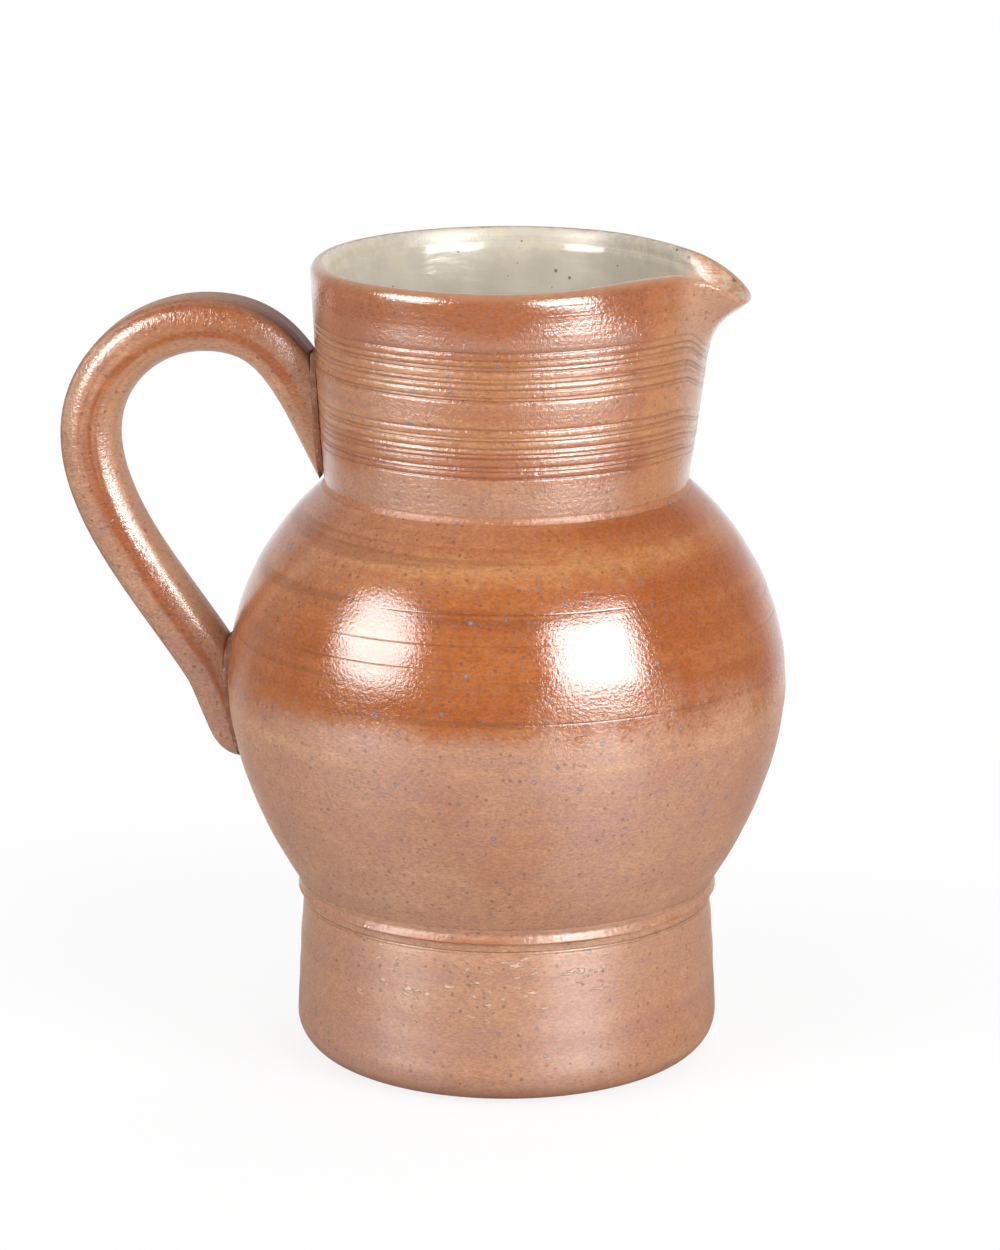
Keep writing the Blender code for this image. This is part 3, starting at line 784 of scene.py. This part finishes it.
def make_handle_slip(name, node, end, finish):
    """A pad of slip that squeezes out round one end of the handle. End 0 is the neck's and 1 the belly's."""
    fibres, _ = strap_fibres(HANDLE_SLIP_SPREAD, False)
    gap = CLEARANCE + HANDLE_SLIP_THICKNESS / 2
    steps = leaving_steps(fibres, gap)[end]
    outline = sample_fibres(fibres, steps[None, :])[0]
    turn = np.arctan2(outline[:, 1], -outline[:, 0])
    height = outline[:, 2]
    low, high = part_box(node)[0].z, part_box(node)[1].z
    height = np.clip(height, low, high)
    index = np.arange(HANDLE_SIDES)
    uneven = 1 - HANDLE_SLIP_UNEVEN * (0.5 + 0.5 * np.sin(5.3 * index) * np.sin(2.1 * index))
    middle_turn, middle_height = turn.mean(), height.mean()

    def layer(spread, lift):
        spread = spread * uneven
        ring_turn = middle_turn + (turn - middle_turn) * spread
        ring_height = middle_height + (height - middle_height) * spread
        radius = vessel_outside(ring_height) + SEAM + lift * (CLEARANCE + HANDLE_SLIP_THICKNESS - SEAM)
        return np.stack([-radius * np.cos(ring_turn), radius * np.sin(ring_turn), ring_height], axis=-1)

    angle = shares(8) * math.pi / 2
    top = [layer(HANDLE_SLIP_FLAT * share, 1.0) for share in shares(6)]
    edge = [layer(blend(HANDLE_SLIP_FLAT, 1.0, math.sin(turned)), math.cos(turned)) for turned in angle[1:]]
    bottom = [layer(share, 0.0) for share in shares(6)[::-1][1:]]
    rings = np.stack(top + edge + bottom)
    add_piece(name, node, rings, ring_faces(rings, False), finish)


# Finishes


class Nodes:
    """Short calls that add nodes to one node tree."""

    def __init__(self, tree):
        self.tree = tree

    def add(self, kind, inputs=None, **settings):
        node = self.tree.nodes.new("ShaderNode" + kind)
        for key, value in settings.items():
            setattr(node, key, value)
        for key, value in (inputs or {}).items():
            self.put(node.inputs[key], value)
        return node

    def put(self, socket, value):
        if isinstance(value, bpy.types.NodeSocket):
            self.tree.links.new(value, socket)
        elif socket.type == "RGBA" and len(value) == 3:
            socket.default_value = (*value, 1.0)
        else:
            socket.default_value = value

    def maths(self, operation, first, second):
        return self.add("Math", {0: first, 1: second}, operation=operation).outputs[0]

    def times(self, first, second):
        return self.maths("MULTIPLY", first, second)

    def larger(self, first, second):
        return self.maths("MAXIMUM", first, second)

    def measure(self, operation, first, second=(0.0, 0.0, 0.0)):
        """A number that is worked out from vectors."""
        return self.add("VectorMath", {0: first, 1: second}, operation=operation).outputs["Value"]

    def ramp(self, value, low, high, start=0.0, end=1.0):
        """A smooth step from start at low to end at high."""
        limits = {"From Min": low, "From Max": high, "To Min": start, "To Max": end}
        node = self.add("MapRange", {"Value": value, **limits}, interpolation_type="SMOOTHSTEP")
        return node.outputs["Result"]


class Look(Nodes):
    """The nodes of one new material."""

    def __init__(self, name):
        self.material = bpy.data.materials.new(name)
        self.material.use_nodes = True
        super().__init__(self.material.node_tree)
        self.shader = self.tree.nodes["Principled BSDF"]
        self.place = self.add("TexCoord").outputs["Object"]
        self.x, self.y, self.z = self.add("SeparateXYZ", {"Vector": self.place}).outputs

    def total(self, *terms):
        """The sum of (value, weight) pairs."""
        sum_so_far = 0.0
        for value, weight in terms:
            node = self.add("Math", {0: value, 1: weight, 2: sum_so_far}, operation="MULTIPLY_ADD")
            sum_so_far = node.outputs[0]
        return sum_so_far

    def scaled(self, vector, factors):
        return self.add("VectorMath", {0: vector, 1: factors}, operation="MULTIPLY").outputs["Vector"]

    def noise(self, scale, detail=2.0, place=None, roughness=0.5):
        inputs = {"Vector": place or self.place, "Scale": scale, "Detail": detail, "Roughness": roughness}
        return self.add("TexNoise", inputs).outputs["Fac"]

    def streaks(self, across, upward, detail, roughness=0.5):
        """Noise whose scale across and upward differ, for streaks that run round the pot."""
        return self.noise(1.0, detail, self.scaled(self.place, (across, across, upward)), roughness)

    def mix(self, share, first, second, way="MIX"):
        node = self.add("Mix", {0: share, 6: first, 7: second}, data_type="RGBA", blend_type=way)
        return node.outputs[2]

    def patches(self, scale, detail, low, high, start=0.0, end=1.0):
        """Soft patches of noise, with the value start between them and end inside them."""
        return self.ramp(self.noise(scale, detail), low, high, start, end)

    def tint(self, colour, other, share, weight):
        """A colour with some of another one mixed in."""
        return self.mix(self.times(share, weight), colour, other)

    def mark(self, name):
        return self.add("Attribute", attribute_name=name).outputs["Fac"]

    def specks(self, scale, size, share):
        """Round specks: how much of a speck and how much of its heart is at this place."""
        cell = self.add("TexVoronoi", {"Vector": self.place, "Scale": scale})
        parts = self.add("SeparateColor", {"Color": cell.outputs["Color"]}).outputs
        ragged = self.times(self.noise(9 * scale), 0.5 * size * scale)
        distance = self.maths("ADD", cell.outputs["Distance"], ragged)
        radius = self.ramp(parts["Red"], 0.0, 1.0, 0.5 * size * scale, 1.25 * size * scale)
        shown = self.maths("LESS_THAN", parts["Green"], share)
        inside = self.maths("SUBTRACT", radius, distance)
        soft = 0.12 * size * scale
        body = self.times(self.ramp(inside, -soft, soft), shown)
        heart = self.times(self.ramp(inside, 3 * soft, 5 * soft), shown)
        return body, heart

    def bump(self, height, distance, under=None):
        inputs = {"Strength": 1.0, "Distance": distance, "Height": height}
        if under:
            inputs["Normal"] = under
        return self.add("Bump", inputs).outputs["Normal"]

    def set(self, **values):
        for name, value in values.items():
            self.put(self.shader.inputs[name.replace("_", " ").title().replace("Ior", "IOR")], value)
        return self.material


def salt_colour(look, orange, shift=0.0):
    """Clay that salt vapour coloured, from tan at orange 0 to red-brown at 1. Shift lightens the orange."""
    streak = look.streaks(9.0, 330.0, 4.0)
    band = look.streaks(5.0, 75.0, 2.0)
    sweep = look.streaks(6.0, 180.0, 2.0)
    patch = look.noise(34.0, 3.0)
    mottle = look.noise(230.0, 6.0, roughness=0.75)
    warm = look.total((band, 0.9), (sweep, 0.8), (patch, 0.4), (streak, 0.5), (mottle, 0.9), (shift, 1.0))
    hot = look.mix(look.ramp(warm, 1.42, 1.76), DEEP_ORANGE, ORANGE)
    hot = look.mix(look.ramp(warm, 1.74, 2.10), hot, PALE_ORANGE)
    calm = look.total((look.noise(52.0, 3.0), 0.5), (band, 0.6), (streak, 0.5), (mottle, 0.8))
    cool = look.mix(look.ramp(calm, 0.92, 1.26), MAUVE_TAN, TAN)
    cool = look.mix(look.ramp(calm, 1.20, 1.52), cool, PALE_TAN)
    colour = look.mix(orange, cool, hot)
    grain = look.streaks(800.0, 1700.0, 4.0, roughness=0.7)
    return look.mix(1.0, colour, look.ramp(grain, 0.30, 0.70, 0.78, 1.16), "MULTIPLY")


def with_specks(look, colour, flecked=0.6):
    """Flecks drawn out by throwing, a pepper of small brown specks, and iron specks that bled grey."""
    fleck = look.streaks(600.0, 1500.0, 3.0, roughness=0.6)
    colour = look.mix(look.ramp(fleck, 0.54, 0.66, 0.0, flecked), colour, MAUVE)
    brown, _ = look.specks(400.0, 0.00058, 0.7)
    colour = look.tint(colour, BROWN_SPECK, brown, 0.6)
    body, heart = look.specks(155.0, 0.00085, 1.0)
    colour = look.tint(colour, SPECK, body, 0.85)
    return look.tint(colour, SPECK_HEART, heart, 0.5)


def orange_peel(look, strength, throwing=0.00004):
    """The pimpled skin of salt glaze over the faint rings of throwing."""
    rings = look.streaks(14.0, 1000.0, 3.0)
    skin = look.bump(rings, throwing)
    coarse = look.noise(1000.0, 2.0)
    fine = look.noise(2600.0, 1.0)
    peel = look.total((coarse, 1.0), (fine, 0.4))
    return look.bump(look.times(peel, strength), 0.00008, skin)


def finish_glaze(look, colour, roughness, normal, coat, drawn=0.75, ior=1.65):
    """Salt glaze. Drawn is how far the rings of throwing draw reflections out up and down."""
    return look.set(
        base_color=colour,
        roughness=roughness,
        normal=normal,
        ior=ior,
        anisotropic=drawn,
        anisotropic_rotation=0.25,
        coat_normal=normal,
        coat_weight=coat,
        coat_roughness=0.10,
        coat_ior=1.5,
    )


def belly_finish():
    """Glossy orange above the line to which the pot was dipped, and satin tan below it."""
    look = Look("orange_salt_glaze")
    above = look.maths("SUBTRACT", look.z, DIP_LINE)
    sharp = look.patches(13.0, 1.0, 0.38, 0.62, 0.35, 1.2)
    slow = look.noise(11.0, 2.0)
    drift = look.noise(60.0, 4.0, roughness=0.6)
    ragged = look.noise(600.0, 4.0, roughness=0.7)
    edge = look.times(above, sharp)
    height = look.total((edge, 1.0), (slow, 0.014), (drift, 0.010), (ragged, 0.006))
    orange = look.ramp(height, 0.0105, 0.0195)
    uneven_shoulder = look.streaks(14.0, 60.0, 3.0)
    towards_handle = look.total((look.z, 1.0), (look.x, -0.35), (uneven_shoulder, 0.040))
    shoulder = look.ramp(towards_handle, 0.172, 0.206, 1.0, 0.45)
    rise = look.ramp(look.z, DIP_LINE, BELLY_TOP, -0.16, 0.06)
    shift = look.total((look.ramp(look.x, 0.020, 0.055), -0.20), (rise, 1.0))
    blush = look.patches(20.0, 3.0, 0.46, 0.66, 0.0, 0.30)
    dipped = look.times(orange, shoulder)
    colour = salt_colour(look, look.larger(dipped, blush), shift)
    burnt = look.ramp(look.streaks(5.0, 240.0, 2.0), 0.60, 0.70, 0.0, 0.40)
    colour = look.mix(look.times(burnt, orange), colour, SCORCH_AND_SHADE)
    # Painted shade: the grooves of the throwing lines are darkened with dark red-brown
    shaded_crease = look.times(look.mark("shaded_crease"), 0.55)
    colour = with_specks(look, look.mix(shaded_crease, colour, SCORCH_AND_SHADE))
    uneven = look.noise(120.0, 3.0)
    gloss = look.total((look.ramp(orange, 0.0, 1.0, 0.40, 0.08), 1.0), (uneven, 0.06))
    pimpled = look.ramp(look.z, DIP_LINE + 0.006, DIP_LINE + 0.022, 1.9, 0.9)
    normal = orange_peel(look, pimpled)
    coat = look.ramp(orange, 0.0, 1.0, 0.0, 0.1)
    return finish_glaze(look, colour, gloss, normal, coat)


def neck_finish():
    """Combed orange glaze, with the grey liner glaze run up over the inner half of the rim."""
    look = Look("combed_salt_glaze")
    plain = look.ramp(look.streaks(12.0, 110.0, 3.0), 0.44, 0.62, 0.78, 0.36)
    low = look.ramp(look.z, LOWER_BAND_BOTTOM - 0.004, LOWER_BAND_BOTTOM, 0.14, 1.0)
    plain = look.times(plain, low)
    combed = look.times(look.mark("combed"), 0.9)
    level = look.mark("level")
    upper = look.ramp(level, 0.72, 0.85, 0.0, 0.9)
    towards_lip = look.ramp(look.x, *TOWARDS_LIP)
    orange = look.larger(plain, look.larger(combed, upper))
    on_side = look.times(towards_lip, look.ramp(look.x, *LIP_SIDE_END, 0.95, 0.0))
    tip = look.ramp(look.x, *LIP_TIP, 1.0, 0.05)
    orange = look.times(look.larger(orange, on_side), tip)
    deep_top = look.ramp(level, 0.66, 0.82, 0.05, -0.32)
    beside_lip = look.ramp(look.x, *BESIDE_LIP, 0.0, 0.62)
    colour = salt_colour(look, orange, look.maths("ADD", deep_top, beside_lip))
    on_lip = look.ramp(look.x, *ON_LIP)
    # Partly the lip's own pale tan and partly a painted reflection of the white surroundings: the lip's
    # outside is mixed towards pale tan
    colour = look.tint(colour, PALE_TAN, on_lip, 0.55)
    # Painted shade: the combed grooves are darkened with dark red-brown
    shaded_crease = look.times(look.mark("shaded_crease"), 0.5)
    colour = with_specks(look, look.mix(shaded_crease, colour, SCORCH_AND_SHADE))
    over_rim = look.total((look.mark("over_rim"), 1.0), (look.noise(300.0, 3.0), 0.16))
    rubbed = look.ramp(over_rim, 0.66, 1.02, 0.7, 0.0)
    colour = look.mix(rubbed, colour, PALE_TAN)
    in_edge = look.ramp(over_rim, 0.44, 0.50)
    edge = look.times(in_edge, look.ramp(over_rim, 0.50, 0.58, 0.2, 0.0))
    lined = look.ramp(over_rim, 0.46, 0.52, 1.0, 0.0)
    colour = look.mix(edge, look.mix(lined, colour, liner_colour(look)), BROWN_SPECK)
    uneven = look.patches(120.0, 3.0, 0.2, 0.8, 0.26, 0.36)
    crusted = look.times(lined, look.ramp(look.x, *BEFORE_LIP, 0.30, 0.20))
    top_gloss = look.total((look.ramp(level, 0.80, 0.92), -0.15), (on_lip, -0.08))
    gloss = look.total((uneven, 1.0), (crusted, 1.0), (top_gloss, 1.0))
    coat = look.ramp(lined, 0.0, 1.0, 0.8, 0.0)
    normal = orange_peel(look, look.ramp(level, 0.80, 0.90, 2.6, 1.3), 0.00014)
    return finish_glaze(look, colour, gloss, normal, coat, ior=1.85)


def foot_finish(name, collar=False):
    """Satin tan. The foot is dark at its lower edge and chipped in front, the collar worn along its edge and
    painted with shade in its crease.
    """
    look = Look(name)
    warm = look.patches(26.0, 3.0, 0.50, 0.74, 0.0, 0.3)
    colour = with_specks(look, salt_colour(look, warm), 0.45)
    normal = orange_peel(look, 0.5)
    gloss = look.patches(90.0, 3.0, 0.2, 0.8, 0.38, 0.48)
    coat = 0.0
    if collar:
        worn = look.mark("worn")
        rubbed = look.times(worn, look.patches(70.0, 4.0, 0.46, 0.62))
        colour = look.tint(colour, ORANGE, rubbed, 0.8)
        glint = look.times(worn, look.patches(160.0, 4.0, 0.46, 0.64))
        gloss = look.total((gloss, 1.0), (glint, -0.18))
        normal = look.bump(look.noise(500.0, 3.0), 0.00020, normal)
        # Painted shade in the crease below the collar's edge
        colour = look.tint(colour, SCORCH_AND_SHADE, look.mark("shaded_crease"), 0.6)
        coat = look.times(glint, 0.45)
    else:
        clusters = look.patches(40.0, 1.0, 0.38, 0.48)
        in_front = look.ramp(look.y, -0.045, -0.055)
        on_front = look.times(in_front, look.ramp(look.z, 0.022, 0.030))
        scuffs = look.streaks(210.0, 560.0, 4.0, roughness=0.58)
        chip = look.times(look.ramp(scuffs, 0.60, 0.64), on_front)
        chip = look.times(chip, clusters)
        colour = look.tint(colour, CRUMB, chip, 0.65)
        gloss = look.total((gloss, 1.0), (chip, -0.22))
        normal = look.bump(chip, 0.0003, normal)
        low = look.total((look.z, 1.0), (look.noise(150.0, 4.0), 0.006))
        colour = look.mix(look.ramp(low, 0.003, 0.011, 0.6, 0.0), colour, DEEP_ORANGE)
    return finish_glaze(look, colour, gloss, normal, coat, ior=1.75)


def handle_finish():
    """Pulled clay: bands run along the strap, and fine lines cross it."""
    look = Look("pulled_salt_glaze")
    run, outer, near = look.mark("run"), look.mark("outer"), look.mark("near")
    girth = look.add("CombineXYZ", {"X": run, "Y": outer, "Z": near}).outputs["Vector"]
    bands = look.noise(1.0, 3.0, look.scaled(girth, (16.0, 3.4, 1.8)))
    wander = look.total((outer, 1.0), (bands, 0.9))
    inner_side = look.ramp(wander, 0.32, 0.62, 1.0, 0.0)
    underside = look.ramp(wander, 0.00, 0.24, 0.1, 1.0)
    orange = look.times(inner_side, underside)
    at_top = look.ramp(look.z, NECK_BOTTOM + 0.036, NECK_BOTTOM + 0.048, 0.0, 0.95)
    over_top = look.times(at_top, look.ramp(outer, 0.60, 0.85, 1.0, 0.1))
    over_top = look.times(over_top, underside)
    orange = look.larger(orange, over_top)
    orange = look.times(orange, look.ramp(run, 0.022, 0.036, 0.3, 1.0))
    colour = salt_colour(look, orange, -0.30)
    faces_pot = look.ramp(outer, -0.75, -0.30, 0.6, 0.0)
    colour = with_specks(look, look.mix(faces_pot, colour, PALE_TAN))
    # Dark red-brown on the channel near the neck: partly bare, unglazed clay, partly painted shade where the
    # strap meets the neck
    on_channel = look.ramp(outer, 0.62, 0.84)
    bare_and_shaded = look.times(on_channel, look.ramp(run, 0.050, 0.085, 0.8, 0.0))
    # Painted shade: a dark line along the channel's ridge
    ridge = look.times(look.ramp(outer, 0.72, 0.80), look.ramp(outer, 0.80, 0.88, 0.5, 0.0))
    colour = look.mix(look.larger(bare_and_shaded, ridge), colour, SCORCH_AND_SHADE)
    lines = look.noise(1.0, 3.0, look.scaled(girth, (1300.0, 5.0, 5.0)))
    normal = look.bump(lines, 0.00018, orange_peel(look, 1.8, 0.0))
    gloss = look.patches(120.0, 3.0, 0.2, 0.8, 0.18, 0.28)
    inside = look.ramp(outer, -0.80, -0.50, 1.0, 0.0)
    matt = look.larger(on_channel, inside)
    gloss = look.total((gloss, 1.0), (matt, 0.25))
    coat = look.ramp(matt, 0.0, 1.0, 0.8, 0.1)
    return finish_glaze(look, colour, gloss, normal, coat, drawn=0.0)


def slip_finish(name, dark):
    """Slip that squeezed out of a joint: crumbly, and dark where it fills a groove beside the handle, partly
    from its own iron-rich brown and partly from painted shade of the groove.
    """
    look = Look(name)
    colour = with_specks(look, salt_colour(look, 0.7))
    lumps = look.noise(700.0, 4.0, roughness=0.6)
    if dark:
        # Painted shade and iron-rich brown: the slip in the groove beside the handle is darkened
        colour = look.mix(look.patches(300.0, 3.0, 0.35, 0.65, 0.95, 0.55), colour, SCORCH_AND_SHADE)
        colour = look.mix(look.ramp(lumps, 0.58, 0.70, 0.0, 0.4), colour, CRUMB)
        return look.set(base_color=colour, roughness=0.75, normal=look.bump(lumps, 0.0004))
    crumb = look.times(look.ramp(lumps, 0.56, 0.66, 0.0, 0.6), look.mark("squeezed"))
    return finish_glaze(look, look.mix(crumb, colour, CRUMB), 0.42, look.bump(lumps, 0.0003), 0.0)


def liner_colour(look):
    """Grey-green glass with dark specks, stained cream near the rim and blushing tan in the lip."""
    cloud = look.noise(60.0, 4.0)
    colour = look.mix(look.ramp(cloud, 0.3, 0.7), LINER, PALE_LINER)
    height = look.total((look.z, 1.0), (cloud, 0.012))
    near_rim = look.ramp(height, RIM_TOP - 0.006, RIM_TOP + 0.002)
    crust = look.ramp(look.noise(260.0, 6.0, roughness=0.75), 0.44, 0.58)
    stained = look.times(near_rim, look.times(crust, 0.7))
    colour = look.mix(stained, colour, LINER_STAIN)
    reach = look.total((look.x, 1.0), (look.noise(150.0, 4.0), 0.008))
    blush = look.ramp(reach, *LINER_BLUSH, 0.0, 0.95)
    blushed = look.mix(look.patches(150.0, 5.0, 0.30, 0.75, 0.0, 0.7), PALE_TAN, LINER_STAIN)
    spotted = look.patches(420.0, 4.0, 0.42, 0.58, 0.15, 0.75)
    near_edge = look.ramp(look.mark("level"), 0.88, 0.96)
    blushed = look.mix(look.times(near_edge, spotted), blushed, PALE_ORANGE)
    blushed = look.mix(look.ramp(look.x, *LINER_TIP, 0.0, 0.7), blushed, PALE_LINER)
    colour = look.mix(blush, colour, blushed)
    dark, _ = look.specks(210.0, 0.00062, 0.9)
    colour = look.tint(colour, LINER_SPECK, dark, 0.8)
    smear = look.measure("DISTANCE", look.place, SMEAR_PLACE)
    ragged = look.total((smear, 1.0), (look.noise(900.0, 3.0), 0.0012))
    return look.mix(look.ramp(ragged, *SMEAR_EDGE, 0.95, 0.0), colour, LINER_SPECK)


def liner_finish():
    look = Look("grey_liner_glaze")
    normal = look.bump(look.streaks(160.0, 420.0, 4.0), 0.00011)
    crusted = look.ramp(look.z, GLAZE_LEDGE_TOP - 0.0004, GLAZE_LEDGE_TOP + 0.0004, 0.0, 0.3)
    uneven = look.patches(60.0, 4.0, 0.3, 0.7, 0.11, 0.18)
    gloss = look.maths("ADD", uneven, crusted)
    return look.set(base_color=liner_colour(look), roughness=gloss, normal=normal, ior=1.5)


# Stage


def make_floor():
    """A pale floor that keeps the shadow near the pitcher and runs out to white."""
    mesh = bpy.data.meshes.new("floor")
    corners = [(-1, -1), (1, -1), (1, 1), (-1, 1)]
    points = [(FLOOR_HALF * across, FLOOR_HALF * along, 0) for across, along in corners]
    mesh.from_pydata(points, [], [(0, 1, 2, 3)])
    floor = bpy.data.objects.new("floor", mesh)
    bpy.context.scene.collection.objects.link(floor)
    look = Look("pale_floor")
    look.set(base_color=FLOOR_GREY, roughness=0.7, specular_ior_level=0.0)
    away = look.measure("LENGTH", look.place)
    ahead = look.measure("DOT_PRODUCT", look.place, BEHIND)
    behind = look.ramp(look.maths("DIVIDE", ahead, away), *WHITE_ZONE, FRONT_GREY, 1.0)
    path = look.add("LightPath").outputs
    reflected = look.larger(path["Is Glossy Ray"], path["Is Transmission Ray"])
    strength = look.larger(path["Is Camera Ray"], behind)
    white = look.add("Emission", {"Color": WHITE, "Strength": strength})
    shown = look.times(path["Is Camera Ray"], look.ramp(away, *SHADOW_STRETCH, SHADOW_WHITE, 1.0))
    share = look.larger(shown, reflected)
    surface = look.add("MixShader", {0: share, 1: look.shader.outputs[0], 2: white.outputs[0]})
    output = look.tree.nodes["Material Output"]
    look.put(output.inputs["Surface"], surface.outputs[0])
    mesh.materials.append(look.material)


def add_lamp(name, shape, place, width, height, power):
    """A soft lamp that faces the pitcher's belly."""
    lamp = bpy.data.lights.new(name, "AREA")
    lamp.shape = shape
    lamp.size = width
    lamp.size_y = height
    lamp.energy = power
    softbox = bpy.data.objects.new(name, lamp)
    softbox.location = Vector((0.0, 0.0, BELLY_MIDDLE)) + place
    softbox.rotation_euler = place.to_track_quat("Z", "Y").to_euler()
    softbox.visible_camera = False
    bpy.context.scene.collection.objects.link(softbox)
    return softbox


def towards(azimuth, elevation):
    """The way to a lamp, for angles in degrees."""
    turned = math.radians(azimuth)
    raised = math.radians(elevation)
    flat = math.cos(raised)
    return Vector((math.cos(turned) * flat, math.sin(turned) * flat, math.sin(raised)))


def make_softbox(name, shape, azimuth, elevation, width, height, light, glare):
    """A softbox as two lamps: one gives the light, and a smaller one in front of it the highlight."""
    way = towards(azimuth, elevation)
    cloth = add_lamp(name, shape, way * SOFTBOX_DISTANCE, width, height, light)
    cloth.visible_glossy = False
    glare_place = way * (SOFTBOX_DISTANCE - SOFTBOX_DEPTH)
    core = add_lamp(name + "_glare", shape, glare_place, GLARE_SIZE * width, GLARE_SIZE * height, glare)
    core.visible_diffuse = False


def make_back_fill(azimuth, elevation, width, light):
    """A weak lamp behind the pitcher, which doesn't show in its glaze."""
    place = towards(azimuth, elevation) * SOFTBOX_DISTANCE
    lamp = add_lamp("back_fill", "ELLIPSE", place, width, width, light)
    lamp.visible_glossy = False


def make_world():
    """A studio: white to the camera, a plain fill for the pitcher, and reflections white only behind it."""
    world = bpy.data.worlds.new("studio")
    bpy.context.scene.world = world
    world.use_nodes = True
    studio = Nodes(world.node_tree)
    path = studio.add("LightPath").outputs
    direction = studio.add("TexCoord").outputs["Generated"]
    facing = studio.measure("DOT_PRODUCT", direction, BEHIND)
    behind = studio.ramp(facing, *WHITE_ZONE, FRONT_GREY, BACK_WALL)
    lit = studio.add("Mix", {"Factor": path["Is Glossy Ray"], "A": FILL_LIGHT, "B": behind})
    shown = studio.larger(path["Is Camera Ray"], path["Is Transmission Ray"])
    strength = studio.add("Mix", {"Factor": shown, "A": lit.outputs["Result"], "B": 1.0})
    background = world.node_tree.nodes["Background"]
    studio.put(background.inputs["Color"], WHITE)
    studio.put(background.inputs["Strength"], strength.outputs["Result"])


def make_camera():
    data = bpy.data.cameras.new("camera")
    data.sensor_width = SENSOR_SIZE
    data.lens = FOCAL_PIXELS * SENSOR_SIZE / PICTURE_HEIGHT
    data.shift_x = (PICTURE_WIDTH / 2 - AXIS_PIXEL) / PICTURE_HEIGHT
    camera = bpy.data.objects.new("camera", data)
    away = Vector((math.sin(CAMERA_AZIMUTH), -math.cos(CAMERA_AZIMUTH), 0.0))
    camera.location = away * CAMERA_DISTANCE + Vector((0.0, 0.0, CAMERA_HEIGHT))
    camera.rotation_euler = (math.pi / 2 - CAMERA_PITCH, 0.0, CAMERA_AZIMUTH)
    bpy.context.scene.collection.objects.link(camera)
    bpy.context.scene.camera = camera


bpy.context.scene.view_settings.view_transform = "Standard"
make_world()
make_floor()
make_softbox(
    "left_softbox", "ELLIPSE", azimuth=-141.7, elevation=24, width=0.80, height=0.72, light=7.6, glare=12.0
)
make_softbox(
    "right_softbox", "RECTANGLE", azimuth=-43.0, elevation=23, width=0.78, height=0.76, light=11.9, glare=21.0
)
make_back_fill(azimuth=75, elevation=40, width=0.9, light=4.5)
make_camera()

make_foot(foot_finish("tan_salt_glaze"))
make_collar(foot_finish("collar_salt_glaze", collar=True))
make_belly(belly_finish())
make_shoulder_slip(slip_finish("pale_slip", dark=False))
make_neck(neck_finish())
make_liner(liner_finish())
make_handle(handle_finish())
# Slip at the handle's ends, darkened partly by its own colour and partly by painted shade
dark_shaded_slip = slip_finish("dark_shaded_slip", dark=True)
make_handle_slip("upper_seam", "handle_upper_slip", 0, dark_shaded_slip)
make_handle_slip("lower_seam", "handle_lower_slip", 1, dark_shaded_slip)
